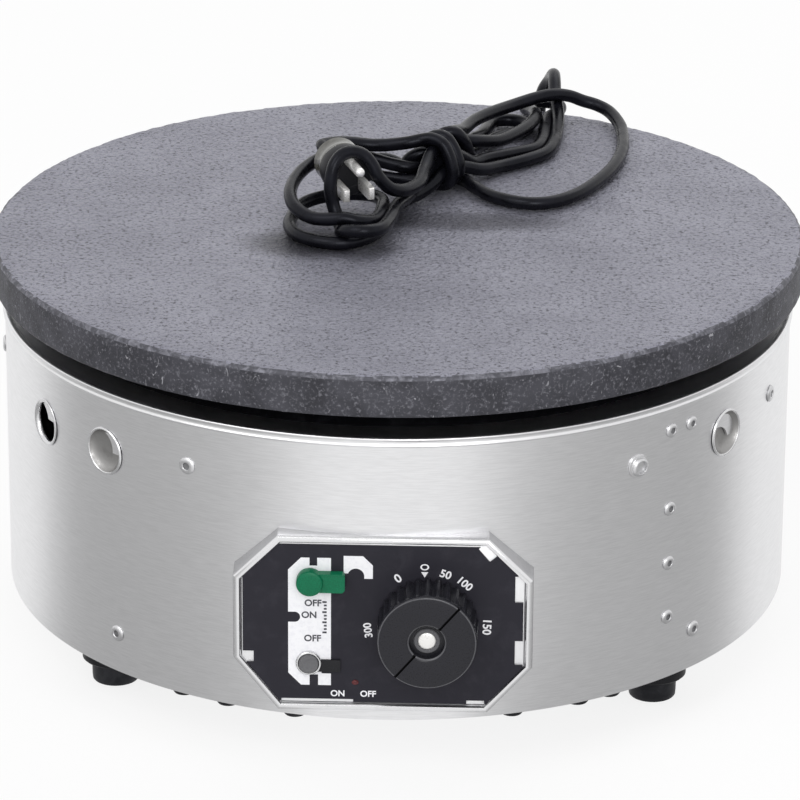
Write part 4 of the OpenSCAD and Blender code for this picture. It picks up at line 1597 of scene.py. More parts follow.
@dataclass
class Drum:
    """Drum with its folded rim, rivets, blanking plugs, open port and bonding screw.

    Attributes:
        radius: Radius of the drum.
        sheet: Thickness of its sheet.
        base: Height of its lower edge.
        height: Height of the drum.
        outlet: Angle, height and radius of the cable outlet's hole.
        window: Width, height and middle of the panel's window.
        bore: Radius of the holes of the plugs and the port.
        ring_rivets: Angle and rise of each rivet of the support ring.
        base_rivets: Angle and rise of each rivet of the base ring.
        seam_rivets: Angle and rise of each rivet of the sheet's joint.
        plugs: Angle and rise of each blanking plug.
        port: Angle and rise of the open port.
        bonding: Angle and rise of the bonding screw.
    """

    radius: float = DRUM_RADIUS
    sheet: float = 1.2
    base: float = DRUM_BASE
    height: float = 142.5
    outlet: Triple = (OUTLET_TURN, OUTLET_Z, 8.4)
    window: Triple = (108, 69.8, PANEL_Z)
    bore: float = 10.15
    ring_rivets: Sequence[Pair] = tuple(
        (angle, 118) for angle in (-28.5, 70, 112, 140, 190, 230, 275)
    )
    base_rivets: Sequence[Pair] = tuple((angle, 20) for angle in (-41.5, 49, 137, 223))
    seam_rivets: Sequence[Pair] = ((43.5, 128), (47.5, 128), (43.5, 88), (43.5, 60), (43.5, 32))
    plugs: Sequence[Pair] = ((-43.5, 112.5), (55.5, 115))
    port: Pair = (-58.5, 110.5)
    bonding: Pair = (37.5, 115)

    def build(self) -> None:
        """Makes the drum's pieces."""
        self.shell()
        self.rim()
        self.rivets("ring_pop_rivets", self.ring_rivets, 1.1, "ring_rivets")
        self.rivets("base_pop_rivets", self.base_rivets, 1.05, "base_rivets")
        self.rivets("seam_pop_rivets", self.seam_rivets, 0.92, "seam_rivets")
        self.stopper()
        self.eyelet()
        self.bonding_point()

    def places(self, spots: Sequence[Pair]) -> list[Matrix]:
        """Places on the drum's side for angles and rises over its lower edge."""
        return [outward(angle, self.base + rise, self.radius) for angle, rise in spots]

    def shell(self) -> None:
        """Rolled sheet with its plug holes, port, outlet hole and panel window."""
        inner, top = self.radius - self.sheet, self.base + self.height - 0.5
        rings = [
            (inner, self.base), (self.radius, self.base), (self.radius, top), (inner, top),
            (inner, self.base),
        ]
        sheet = turned("drum_sheet", rings, 512)
        half, tall, middle = self.window[0] / 2, self.window[1], self.window[2]
        low, high = middle - tall / 2, middle + tall / 2
        carved(sheet, block("window", (-half, -self.radius - 6, low), (half, -150, high)))
        bores = [(angle, self.base + rise, self.bore) for angle, rise in (*self.plugs, self.port)]
        for angle, z, radius in (*bores, self.outlet):
            drilled(sheet, outward(angle, z, self.radius), radius, (-9, 4), 48)
        dressed(sheet, STEEL, ["drum_shell"], 30)

    def rim(self) -> None:
        """Sheet folded over the drum's top edge, with a rolled line under the fold."""
        r, top = self.radius, self.base + self.height
        rings = [
            (r, top - 3.7), (r + 0.55, top - 3.8), (r + 0.95, top - 3.5), (r + 1.05, top - 3.1),
            (r + 0.85, top - 2.7), (r + 0.5, top - 2.4), (r + 0.45, top - 1.2),
            (r + 0.6, top - 0.7), (r + 0.95, top - 0.3), (r + 1.05, top + 0.1),
            (r + 0.85, top + 0.5), (r + 0.4, top + 0.75), (r - 0.4, top + 0.8),
            (r - 1.4, top + 0.75), (r - 2, top + 0.4), (r - 2.3, top - 0.2), (r - 2.3, top - 2.6),
            (r - 1.2, top - 2.6), (r - 1.2, top - 0.5), (r, top - 0.5), (r, top - 3.7),
        ]
        dressed(turned("rim_fold", rings, 256), STEEL, ["rim_bead"], 50)

    def rivets(self, name: str, spots: Sequence[Pair], share: float, node: str) -> None:
        """Row of pop rivets, each a domed flange round the hollow its pin left.

        Args:
            name: The row's name.
            spots: Angle and rise of each.
            share: Size of the flange against the plain one.
            node: The node that the row stands for.
        """
        rings = [
            (0, -4.0), (2.0, -3.9), (2.6, -3.2), (2.6, -2.5), (1.9, -2.4), (1.9, 0.02),
            (3.6 * share, 0.02), (3.8 * share, 0.15), (3.8 * share, 0.45), (3.4 * share, 0.95),
            (2.8 * share, 1.25), (2.2 * share, 1.38), (1.8 * share, 1.32), (1.55 * share, 1.05),
            (1.45 * share, 0.5), (0.9 * share, 0.35), (0, 0.45),
        ]
        pattern, hollow = turned("rivet", rings, 28), 1.5 * share
        # The hollow gets the darker steel: painted shade.
        painted(pattern, (RIVET, RIVET_HOLLOW_SHADE), lambda at, _: int(at.z > 0.3 and off_axis(at) < hollow))
        dressed(copied(name, pattern, self.places(spots)), RIVET, [node])

    def stopper(self) -> None:
        """Sprung steel plugs that close unused holes: a bright lip round a deep dish, painted
        darker as its shade.
        """
        rings = [
            (0, -3.8), (4.2, -3.6), (7.2, -2.6), (9.2, -1.3), (9.3, -4), (9.9, -4.1),
            (10.2, -3.6), (10.2, 0.02), (11.6, 0.02), (11.8, 0.35), (11.6, 0.8), (11.2, 1.05),
            (10.8, 1.0), (10.5, 0.7), (10.1, 0.1), (9.4, -0.8), (8, -1.7), (6, -2.3), (3.5, -2.7),
            (0, -2.8),
        ]
        pattern = turned("stopper", rings, 48)
        # The dish's faces get the darker steel: painted shade.
        painted(
            pattern,
            (BRIGHT, DISH_SHADE_STEEL),
            lambda at, normal: int(at.z < 0.5 and off_axis(at) < 10.3 and normal.z > 0),
        )
        row = copied("dished_plugs", pattern, self.places(self.plugs))
        dressed(row, BRIGHT, ["blanking_plugs"])

    def eyelet(self) -> None:
        """Rolled steel eyelet in the open port."""
        rings = [
            (9.3, -1.7), (9.9, -1.7), (10.1, -1.3), (10.1, 0.02), (11.5, 0.02), (11.7, 0.3),
            (11.4, 0.65), (10.8, 0.75), (10.2, 0.55), (9.7, 0.05), (9.4, -0.7), (9.3, -1.7),
        ]
        pattern = turned("eyelet", rings, 48)
        ring = copied("port_eyelet", pattern, self.places([self.port]))
        dressed(ring, BRIGHT, ["port_grommet"])

    def bonding_point(self) -> None:
        """Socket-headed bonding screw on its wide washer."""
        rings = [
            (0, -8), (1.9, -8), (1.9, 0.02), (5.8, 0.02), (5.9, 0.3), (5.8, 0.75), (5.2, 0.9),
            (4.9, 0.95), (4.8, 1.3), (4.5, 2.1), (4.0, 2.7), (3.4, 2.9), (3.1, 2.8), (2.9, 2.4),
            (2.8, 1.3), (0, 1.1),
        ]
        pattern = turned("bonding", rings, 36)
        painted(pattern, (STEEL, RIVET), lambda at, _: int(at.z > 0.9 and off_axis(at) < 4.7))
        screw = copied("bonding_stud", pattern, self.places([self.bonding]))
        dressed(screw, BRIGHT, ["bonding_screw"])


@dataclass
class Feet:
    """Rubber feet under their plates, and the screws of the base.

    Attributes:
        angles: Angle of each foot.
        reach: Distance of a foot's axis from the drum's.
        radius: Radius of a foot.
        height: Height of the drum's lower edge.
        screws: Angles of the base's screws.
        screw_reach: Distance of the screws from the axis.
    """

    angles: Sequence[float] = (-53, 50, 127, 230)
    reach: float = 167.6
    radius: float = 12
    height: float = DRUM_BASE
    screws: Sequence[float] = (-31, -23.5, -13, 19, 29.5, 35, 100, 146, 180, 214, 260)
    screw_reach: float = 186

    def build(self) -> None:
        """Makes the feet, their bolts, their plates and the screws of the base."""
        r, top = self.radius, self.height - 1.5
        foot = [
            (2.6, top), (2.6, 8), (5, 8), (5, 0.5), (5.5, 0.05), (r - 2.2, 0.05), (r - 1.2, 0.3),
            (r - 0.7, 0.9), (r - 0.5, 3), (r - 0.3, top - 7), (r - 0.1, top - 3), (r, top - 1.4),
            (r - 0.2, top - 0.6), (r - 0.8, top - 0.1), (r - 1.4, top), (2.6, top),
        ]
        spots = [upright(angle, self.reach) for angle in self.angles]
        feet = copied("rubber_buffers", turned("buffer", foot, 48), spots)
        dressed(feet, RUBBER, ["rubber_feet"])
        bolt = [
            (0, 4.6), (4.2, 4.6), (4.6, 5), (4.6, 7.9), (2.5, 7.9), (2.5, top + 1.5),
            (4.5, top + 1.5), (4.6, 25.6), (4.3, 29.2), (2.5, 29.4), (2.3, 31), (0, 31),
        ]
        bolts = copied("foot_fixings", turned("bolt", bolt, 24), spots)
        dressed(bolts, ZINC, ["foot_bolts"])
        wide, low = r + 4.2, top - 11
        plate = [
            (r + 0.2, low), (wide - 0.8, low), (wide, low + 0.8), (wide, top + 1.1),
            (wide - 0.4, top + 1.45), (2.6, top + 1.45), (2.6, top + 0.05), (r + 0.2, top + 0.05),
            (r + 0.2, low),
        ]
        plates = copied("foot_flanges", turned("flange", plate, 48), spots)
        dressed(plates, BLACK_PLASTIC, ["foot_plates"])
        self.base_screws()

    def base_screws(self) -> None:
        """Makes the screws under the drum's edge, with deep pan heads."""
        high = self.height
        head = [
            (0, high + 7.9), (1.9, high + 7.9), (1.9, high - 0.05), (5.2, high - 0.05),
            (5.6, high - 0.5), (5.5, high - 2.5), (4.9, high - 3.3), (3.2, high - 3.5),
            (2.3, high - 3.1), (0, high - 3.0),
        ]
        spots = [upright(angle, self.screw_reach) for angle in self.screws]
        screws = copied("base_fixings", turned("fixing", head, 24), spots)
        dressed(screws, BLACK_PLASTIC, ["base_screws"])


@dataclass
class CableOutlet:
    """Elbow behind the drum that turns the cord up, with its gland nut.

    Attributes:
        turn: Angle round the drum.
        z: Height of the barrel.
        reach: Distance of the upright part from the drum's axis.
        drum: Radius of the drum.
        radius: Radius of the upright part.
    """

    turn: float = OUTLET_TURN
    z: float = OUTLET_Z
    reach: float = 223.9
    drum: float = DRUM_RADIUS
    radius: float = 9.5

    def build(self) -> None:
        """Makes the elbow and its nut."""
        r, low, high = self.radius, self.z - 11, self.z + 20
        column = [
            (0, low), (r - 3.5, low), (r - 1.2, low + 0.7), (r - 0.2, low + 2.4), (r, low + 4),
            (r, high - 3.4), (r - 0.5, high - 3), (r - 0.5, high - 2.2), (r, high - 1.8),
            (r, high - 0.6), (r - 0.6, high), (5, high), (4.6, high - 1), (0, high - 1),
        ]
        elbow = turned("outlet_elbow", column, 48, upright(self.turn, self.reach))
        pipe = r - 1.6
        barrel = [(0, -10), (pipe - 0.5, -10), (pipe, -9.4), (pipe, 22), (0, 22)]
        collar = [(0, 0.6), (12, 0.6), (12.5, 1.1), (12.5, 4.6), (11.6, 5.4), (0, 5.4)]
        for name, rings, sides in (("barrel", barrel, 40), ("collar", collar, 6)):
            welded = turned(name, rings, sides, outward(self.turn, self.z, self.drum))
            carved(elbow, welded, "UNION")
        bevelled(elbow, 0.4, 2)
        dressed(elbow, BLACK_PLASTIC, ["cable_outlet"], 40)
        self.nut(high)

    def nut(self, low: float) -> None:
        """Gland nut with grip flats.

        Args:
            low: Height of its lower face.
        """
        rings = [
            (3.5, low + 0.05), (9.9, low + 0.05), (10.6, low + 0.7), (10.6, low + 6.6),
            (10.1, low + 7.4), (9, low + 8.2), (8.4, low + 9), (6.6, low + 9), (6.4, low + 6),
            (3.5, low + 6), (3.5, low + 0.05),
        ]
        nut, flat = turned("gland_nut", rings, 36), 0.955
        with editing(nut):
            pick(
                nut,
                Part.VERTS,
                lambda at, _: off_axis(at) > 9.5 and round(bearing(at) / 10) % 3 == 0,
            )
            bpy.ops.transform.resize(value=(flat, flat, 1), center_override=(0, 0, low * MM))
        settled(nut, upright(self.turn, self.reach))
        dressed(nut, BLACK_PLASTIC, ["outlet_nut"], 30)


# ---------------------------------------------------------------- control panel


@dataclass
class PanelFrame:
    """Raised octagonal frame that follows the drum behind it.

    Attributes:
        width: Width across the frame.
        height: Height of the frame.
        corner: Width and height cut off each corner.
        z: Height of its middle.
        reach: Distance of its crown from the drum's axis.
        drum: Radius of the drum.
        flare: How much wider the skirt is at the drum.
    """

    width: float = 140
    height: float = 89
    corner: Pair = (20.9, 20.9)
    z: float = PANEL_Z
    reach: float = 199
    drum: float = DRUM_RADIUS
    flare: float = 0.1

    def build(self) -> None:
        """Presses the frame, fits it to the drum and polishes it."""
        front, depth, wider = self.reach - 2, 32, 2 * self.flare
        frame = octagon_block(
            "panel_frame",
            (self.width + wider, self.height + wider),
            self.corner,
            self.z,
            (front - depth, front - depth / 2),
        )
        steps = (
            (self.flare, 14.6), (0.25, 1.0), (0.55, 0.85), (0.7, 0.4), (0.7, 0.05), (0.7, -0.15),
            (0.5, -0.7), (0.35, -1.1), (0.25, -1.5),
        )
        with editing(frame, Part.FACES):
            pick(frame, Part.FACES, lambda at, normal: normal.y < -0.9)
            for inset, rise in steps:
                bpy.ops.mesh.inset(thickness=inset * MM, use_even_offset=True)
                bpy.ops.transform.translate(value=(0, -rise * MM, 0))
            bpy.ops.mesh.extrude_region_move(TRANSFORM_OT_translate={"value": (0, depth * MM, 0)})
            bpy.ops.mesh.delete(type="FACE")
            pick(frame, Part.FACES, lambda at, normal: normal.y > 0.9)
            bpy.ops.mesh.delete(type="FACE")
            bpy.ops.mesh.select_mode(type=Part.EDGES.value)
            bpy.ops.mesh.select_all(action="DESELECT")
            bpy.ops.mesh.select_non_manifold()
            bpy.ops.mesh.bridge_edge_loops()
        mended(frame)
        drilled(frame, Matrix.Identity(4), self.drum + 0.02, (0, 160), 512)
        bevelled(frame, 0.35, 3, 30)
        # Faces that face neither front nor back, the skirt, get the darker steel as painted
        # shade.
        painted(frame, (PANEL_STEEL, SKIRT_SHADE_STEEL), lambda at, normal: int(abs(normal.y) < 0.35))
        dressed(frame, PANEL_STEEL, ["panel_bezel"], 40)


def octagon_block(
    name: str,
    size: Pair,
    corner: Pair,
    z: float,
    reach: Pair,
    lower: Pair = (5.5, 2.5),
) -> Piece:
    """Flat-fronted block with four cut corners, standing on the front of the drum.

    Args:
        name: The piece's name.
        size: Width and height.
        corner: Width and height cut off each corner.
        z: Height of its middle.
        reach: Distance of its back and its front from the drum's axis.
        lower: Further height cut off the lower left and the lower right corner.

    Returns:
        The block.
    """
    wide, high = size[0] / 2, size[1] / 2
    obj = block(name, (-wide, -reach[1], z - high), (wide, -reach[0], z + high))
    for side in (-1, 1):
        for up in (-1, 1):
            tall = corner[1] + (lower[side > 0] if up < 0 else 0)
            at = (side * (wide - corner[0]), -reach[0], z + up * high)
            cut_by_plane(obj, at, (side * tall, 0, up * corner[0]))
    return obj


def pointing_down(triangle: Piece) -> Matrix:
    """Turn that points a three-sided piece's corner down.

    Args:
        triangle: The piece, lying round the Z axis.

    Returns:
        The turn.
    """
    corner = max(triangle.data.vertices, key=lambda vert: vert.co.xy.length).co
    return Matrix.Rotation(-math.pi / 2 - math.atan2(corner.y, corner.x), 4, "Z")


@dataclass
class FaceSheet:
    """Black face film on its bright backing, with the gaps that show the backing.

    Attributes:
        size: Width and height of the sheet.
        corner: Width and height cut off each corner.
        z: Height of its middle.
        reach: Distance of its back and its front from the drum's axis.
        gaps: Lowest and highest corner of each gap, from the middle.
        corner_gap: Middle, size and turn of the gap at the upper right corner.
        holes: Place and radius of each hole.
        backing: Width and height of the backing.
        backing_corner: Width and height cut off its corners.
        backing_reach: Distance of its back and its front from the drum's axis.
    """

    size: Pair = (131, 80)
    corner: Pair = (16.8, 16.8)
    z: float = PANEL_Z
    reach: Pair = (196.02, FACE_REACH)
    gaps: Sequence[Corners] = (
        ((61.6, 12.3), (67, 25.6)),
        ((61.8, -19.6), (67, -7.2)),
        ((-67, -20.4), (-60.4, -14.6)),
        ((-47.5, -42), (-13.7, -38.7)),
        ((39.4, -42), (47.8, -38.3)),
    )
    corner_gap: tuple[float, float, float, float, float] = (49.4, 38.0, 8.4, 6.4, -50)
    holes: Sequence[Triple] = (
        (*KNOB_AXIS, 4.2), (*LEVER_AXIS, 2.9), (*BUTTON_AXIS, 4.8), (*LAMP_AXIS, 1.35),
    )
    backing: Pair = (132, 81)
    backing_corner: Pair = (17, 17)
    backing_reach: Pair = (194.82, 195.98)

    def build(self) -> None:
        """Cuts the sheet and drills it."""
        sheet = octagon_block("face_sheet", self.size, self.corner, self.z, self.reach)
        near, far = -self.reach[1] - 1, -self.reach[0] + 1
        for (left, low), (right, high) in self.gaps:
            carved(sheet, block("gap", (left, near, self.z + low), (right, far, self.z + high)))
        x, up, wide, high, turn = self.corner_gap
        tool = block("gap", (-wide / 2, -high / 2, -2), (wide / 2, high / 2, 2))
        place = on_panel(x, self.z + up, self.reach[1])
        carved(sheet, settled(tool, place @ spun(turn)))
        back = octagon_block(
            "backing_sheet", self.backing, self.backing_corner, self.z, self.backing_reach
        )
        bevelled(back, 0.3, 2)
        for x, z, radius in self.holes:
            for part in (sheet, back):
                drilled(part, on_panel(x, z, self.reach[1]), radius, (-4, 2))
        dressed(sheet, FACE_FILM, ["faceplate"])
        dressed(back, BACKING, ["panel_backing"])


@dataclass
class PanelPrint:
    """White printed fields, dial figures and switch words on the black face.

    Attributes:
        reach: Distance of the face from the drum's axis.
        z: Height of the panel's middle.
        ink: Thickness of the ink.
        dial: Place of the dial's middle.
        marks: Angle from the top, words, radius and height of each figure.
        label: Lower left and upper right corner of the switch field, from the middle.
        label_cut: Width cut off its left corners.
        label_notches: Corners of its square notches, and place and radius of its round one.
        hook: Lower left and upper right corner of the hook-shaped field.
        hook_cut: Where its cut corner starts along the top.
        hook_notches: Its notches, given in the same way.
        words_on_label: Text, place across and up, and height of each switch word.
        scale: Right end, top, pitch and half height of the scale marks.
    """

    reach: float = FACE_REACH
    z: float = PANEL_Z
    ink: float = 0.12
    dial: Pair = KNOB_AXIS
    marks: Sequence[tuple[float, str, float, float]] = (
        (-32, "0", 26.7, 4.2), (17.5, "50", 26.3, 3.8), (39, "100", 26.6, 3.8),
        (92, "150", 27.3, 3.9), (147, "200", 25.6, 3.2), (204, "250", 25.6, 3.2),
        (262, "300", 28.2, 3.6),
    )
    label: Corners = ((-44.2, -31.6), (-24.2, 33.4))
    label_cut: float = 6.2
    label_notches: Sequence[Cut] = (
        ((-34.2, 29.4), (-30.6, 36)), ((-34.2, -35), (-30.2, -26.2)), ((-47, 0.6), (-41.2, 5.8)),
        (-41.2, 3.2, 2.6), ((-28.6, -25.6), (-22, -19)),
    )
    hook: Corners = ((-18.3, 23.2), (-4.7, 34.6))
    hook_cut: float = -9.3
    hook_notches: Sequence[Cut] = (
        (-12.6, 24.4, 3.9), ((-16.6, 20), (-8.7, 24.4)), ((-20, 20), (-14.6, 25.8)),
    )
    words_on_label: Sequence[tuple[str, float, float, float]] = (
        ("OFF", -32.6, 10.3, 3.2), ("ON", -34.4, 4.2, 3.2), ("OFF", -32.8, -7.7, 3.2),
    )
    scale: tuple[float, float, float, float] = (-26.2, 11, 1.72, 0.45)

    def build(self) -> None:
        """Prints the fields and the figures."""
        self.fields()
        self.figures()
        self.words()

    def square(self, name: str, corners: Corners, near: float, far: float) -> Piece:
        """Makes a block on the face.

        Args:
            name: The block's name.
            corners: Its lower left and upper right corner, from the panel's middle.
            near: How far it stands out of the face.
            far: Where its back is, measured in the same way.

        Returns:
            The block.
        """
        (left, low), (right, high) = corners
        return block(
            name,
            (left, -self.reach - near, self.z + low),
            (right, -self.reach - far, self.z + high),
        )

    def notched(self, sheet: Piece, notches: Sequence[Cut]) -> None:
        """Cuts the notches out of a printed field.

        Args:
            sheet: The field.
            notches: Corners of a square notch, or place and radius of a round one.
        """
        for notch in notches:
            if len(notch) == 2:
                carved(sheet, self.square("notch", notch, 2, -2))
            else:
                x, up, radius = notch
                drilled(sheet, on_panel(x, self.z + up, self.reach), radius)

    def fields(self) -> None:
        """White switch field with its notches, and the small hook-shaped one beside it."""
        left, foot, top, cut = *self.label[0], self.label[1][1], self.label_cut
        label = self.square("switch_field", self.label, self.ink, 0)
        for up, edge in ((1, top), (-1, foot)):
            at = (left, -self.reach, self.z + edge - up * cut)
            cut_by_plane(label, at, (-cut, 0, up * (cut - 0.2)))
        hook = self.square("hook_field", self.hook, self.ink, 0)
        cut_by_plane(hook, (self.hook_cut, -self.reach, self.z + self.hook[1][1]), (1, 0, 1))
        self.notched(label, self.label_notches)
        self.notched(hook, self.hook_notches)
        dressed(joined("printed_fields", [label, hook]), WHITE_INK)

    def figures(self) -> None:
        """Dial figures round the knob, and the pointer over it."""
        pieces = []
        for angle, words, radius, height in self.marks:
            turn = math.radians(angle)
            x = self.dial[0] + radius * math.sin(turn)
            z = self.dial[1] + radius * math.cos(turn)
            place = on_panel(x, z, self.reach + self.ink / 2) @ Matrix.Rotation(-turn, 4, "Z")
            pieces.append(lettered("figure", words, height, place, self.ink))
        x, z = self.dial[0] - 1.8, self.dial[1] + 26.6
        arrow = turned("arrow", [(0, 0), (1.9, 0), (1.9, self.ink), (0, self.ink)], 3)
        pieces.append(settled(arrow, on_panel(x, z - 1.3, self.reach) @ pointing_down(arrow)))
        hole, rim = 1.25, 1.95
        rings = [(hole, 0), (rim, 0), (rim, self.ink), (hole, self.ink), (hole, 0)]
        oval = Matrix.Diagonal((1.05, 0.8, 1, 1))
        pieces.append(turned("ring", rings, 28, on_panel(x, z + 2.1, self.reach) @ oval))
        dressed(joined("dial_figures", pieces), WHITE_INK)

    def words(self) -> None:
        """Switch words and scale marks on the white field, and the lamp's word."""
        over = self.reach + 1.5 * self.ink
        pieces = [
            lettered("word", text, height, on_panel(x, self.z + up, over), self.ink)
            for text, x, up, height in self.words_on_label
        ]
        right, top, pitch, half = self.scale
        for count in range(10):
            up, left = top - pitch * count, right - (2.0 if count % 3 == 0 else 1.3)
            corners = ((left, up - half), (right, up + half))
            pieces.append(self.square("mark", corners, 2 * self.ink, self.ink))
        dressed(joined("switch_words", pieces), DARK_INK)
        place = on_panel(-13.7, self.z - 35.9, self.reach + self.ink / 2)
        lamp_word = lettered("lamp_words", "ON      OFF", 3.0, place, self.ink)
        dressed(lamp_word, WHITE_INK)


@dataclass
class Knob:
    """Fluted thermostat knob with a smooth face, a slit, a sunk hub and a bright cap.

    Attributes:
        axis: Place of its axis, across and up.
        face: Distance of the panel's face from the drum's axis.
        reach: Distance of the knob's face from the panel's.
        radius: Radius at its base.
        flutes: Grip flutes round it.
        slit: Angle of the slit, clockwise from the top.
        slit_size: Half its width, and its depth.
        hub: Inner and outer radius of the hub's collar.
    """

    axis: Pair = KNOB_AXIS
    face: float = FACE_REACH
    reach: float = 22.4
    radius: float = 23.7
    flutes: int = 30
    slit: float = 40
    slit_size: Pair = (0.55, 0.8)
    hub: Pair = (4.2, 6.5)

    def place(self) -> Matrix:
        """Place of the knob's axis on the panel's face."""
        return on_panel(*self.axis, self.face)

    def build(self) -> None:
        """Makes the knob and its cap."""
        r, top = self.radius, self.reach
        rings = [
            (9.5, 0.5), (r - 0.5, 0.5), (r, 1.0), (r - 0.1, 5), (r - 0.3, 11), (r - 0.5, top - 5),
            (r - 0.7, top - 4), (r - 1.1, top - 3.6), (r - 0.7, top - 3.1), (r - 0.55, top - 2.6),
            (r - 0.6, top - 0.8), (r - 0.85, top - 0.25), (r - 1.35, top), (r - 8, top),
            (9.7, top), (9.0, top - 0.3), (8.4, top - 1.0), (8.3, top - 4.4), (6.6, top - 4.4),
            (6.3, top - 4.1), (6.2, top - 2.9), (5.8, top - 2.45), (4.6, top - 2.4),
            (4.35, top - 2.6), (4.35, top - 5), (3.05, top - 5), (3.05, 4), (9.5, 4), (9.5, 0.5),
        ]
        knob = turned("fluted_knob", rings, 8 * self.flutes)
        self.flute(knob)
        half, deep = self.slit_size
        slot = block("slot", (-half, -30, top - deep), (half, 30, top + 2))
        settled(slot, spun(-self.slit))
        carved(knob, slot)
        painted(knob, (KNOB_PLASTIC, COLLAR_PLASTIC, SLOT_SHADE, KNOB_EDGE_HIGHLIGHT), self.zone)
        settled(knob, self.place())
        dressed(knob, KNOB_PLASTIC, ["thermostat_knob"], 32, Body.KNOB)
        cap_low = top - 4.95
        cap = [
            (0, cap_low), (4.2, cap_low), (4.28, cap_low + 0.1), (4.28, cap_low + 2.1),
            (4.0, cap_low + 2.5), (3.4, cap_low + 2.75), (2.2, cap_low + 2.9),
            (0, cap_low + 2.95),
        ]
        button = turned("bright_cap", cap, 40, self.place())
        dressed(button, NICKEL, ["knob_cap"], body=Body.KNOB)

    def zone(self, at: Vector, _: Vector) -> int:
        """Chooses the finish of a face of the knob.

        Args:
            at: The face's middle, in millimetres.
            _: Its normal, which makes no difference.

        Returns:
            0 on the body, 1 on the hub's collar, 2 in the slit, which is painted near black as
            its shade, and 3 on the face's rim and the hub recess's lip, which are painted lighter
            as a highlight.
        """
        reach, top, (near, far) = off_axis(at), self.reach, self.hub
        recess, rim, half = 8.5, self.radius - 0.8, self.slit_size[0]
        if reach > recess and top - 0.95 < at.z < top - 0.02:
            turn = math.radians(self.slit)
            across = at.x * math.cos(turn) - at.y * math.sin(turn)
            # The slit's walls and floor get the near-black plastic: painted shade.
            if abs(across) < half + 0.15:
                return 2
            # The face's rim and the recess's lip get the lighter plastic: painted highlight.
            return 3 if rim - 0.6 < reach < rim or reach < recess + 0.6 else 0
        return int(near < reach < far and top - 4.3 < at.z < top - 2)

    def flute(self, knob: Piece) -> None:
        """Presses the flutes into the knob's side.

        Args:
            knob: The turned knob, with eight points to a flute.
        """
        depths = {0: 0.918, 1: 0.93, 7: 0.93, 2: 0.965, 6: 0.965}
        inner, top = 20, self.reach - 3.8

        def in_row(at: Vector, row: int) -> bool:
            """Whether a place on the knob's side is in one of the eight rows."""
            place = round(bearing(at) * self.flutes / 45) % 8
            return off_axis(at) > inner and at.z < top and place == row

        for row, share in depths.items():
            with editing(knob):
                pick(knob, Part.VERTS, lambda at, _: in_row(at, row))
                bpy.ops.transform.resize(value=(share, share, 1), center_override=(0, 0, 0))


@dataclass
class Switches:
    """Green lever switch, grey reset button with its ring and tag, and the lamp.

    Attributes:
        face: Distance of the panel's face from the drum's axis.
        lever: Place of the lever's axis.
        lever_reach: Distance from the lever's axis to its tip.
        lever_width: Width of its handle.
        hub: Radius of its hub.
        button: Place of the button's axis.
        lamp: Place of the lamp.
    """

    face: float = FACE_REACH
    lever: Pair = LEVER_AXIS
    lever_reach: float = 16.4
    lever_width: float = 9.4
    hub: float = 6.3
    button: Pair = BUTTON_AXIS
    lamp: Pair = LAMP_AXIS

    def build(self) -> None:
        """Makes the lever, the button and the lamp."""
        self.handle()
        self.reset()
        self.light()

    def handle(self) -> None:
        """Lever: a domed hub and a flat handle with a dished thumb place."""
        r, half, tip = self.hub, self.lever_width / 2, self.lever_reach
        lip, dish, corner = 1.1, 0.35, 1.2
        hub = turned(
            "lever",
            [
                (0, -9.8), (2.45, -9.8), (2.45, 0.45), (r - 0.3, 0.45), (r, 0.8), (r, 5.2),
                (r - 0.3, 5.9), (r - 1.0, 6.3), (r - 2.4, 6.45), (0, 6.5),
            ],
            48,
        )
        bar = block("bar", (0.5, -half, 0.45), (tip, half, 4.8))
        for up in (-1, 1):
            cut_by_plane(bar, (tip, up * (half - corner), 2), (1, up, 0))
        with editing(bar, Part.FACES):
            pick(bar, Part.FACES, lambda at, normal: normal.z > 0.9)
            bpy.ops.mesh.inset(thickness=lip * MM, use_even_offset=True)
            bpy.ops.transform.translate(value=(0, 0, -dish * MM))
        carved(hub, bar, "UNION")
        hub.name = "lever_handle"
        bevelled(hub, 0.45, 3, 30)
        settled(hub, on_panel(*self.lever, self.face))
        dressed(hub, GREEN_PLASTIC, ["power_lever"], 40, Body.LEVER)

    def reset(self) -> None:
        """Button with a shallow dish, its rolled ring and the dark tag beside it."""
        place = on_panel(*self.button, self.face)
        ring = [
            (4.72, 0.02), (6.0, 0.02), (6.1, 0.3), (6.1, 1.2), (5.9, 1.75), (5.5, 2.05),
            (5.1, 2.05), (4.82, 1.8), (4.72, 1.4), (4.72, 0.02),
        ]
        collar = turned("button_collar", ring, 48, place)
        dressed(collar, BRIGHT, ["button_ring"])
        knob = [
            (0, -12), (1.95, -12), (1.95, 0.65), (4.55, 0.65), (4.62, 0.8), (4.62, 2.6),
            (4.4, 2.95), (3.9, 3.02), (3.2, 2.85), (1.6, 2.62), (0, 2.58),
        ]
        button = turned("reset_button", knob, 40, place)
        dressed(button, GREY_PLASTIC, ["push_button"], body=Body.BUTTON)
        tag = block("washer_tag", (0, -4.4, 0.02), (14.8, 1.6, 1.2))
        drilled(tag, Matrix.Identity(4), 6.15, (-1, 3), 48)
        settled(bevelled(tag, 0.25, 2), place)
        dressed(tag, BLACK_PLASTIC, ["button_tag"])

    def light(self) -> None:
        """Dull red lens, a low oval dome."""
        lens = [
            (0, -4.7), (1.25, -4.7), (1.25, 0.02), (1.6, 0.02), (1.6, 0.3), (1.35, 0.6),
            (0.8, 0.82), (0, 0.9),
        ]
        place = on_panel(*self.lamp, self.face) @ Matrix.Diagonal((1, 0.8, 1, 1))
        piece = turned("lamp_lens", lens, 28, place)
        dressed(piece, RED_LENS, ["heating_lamp"])


# ---------------------------------------------------------------- stage


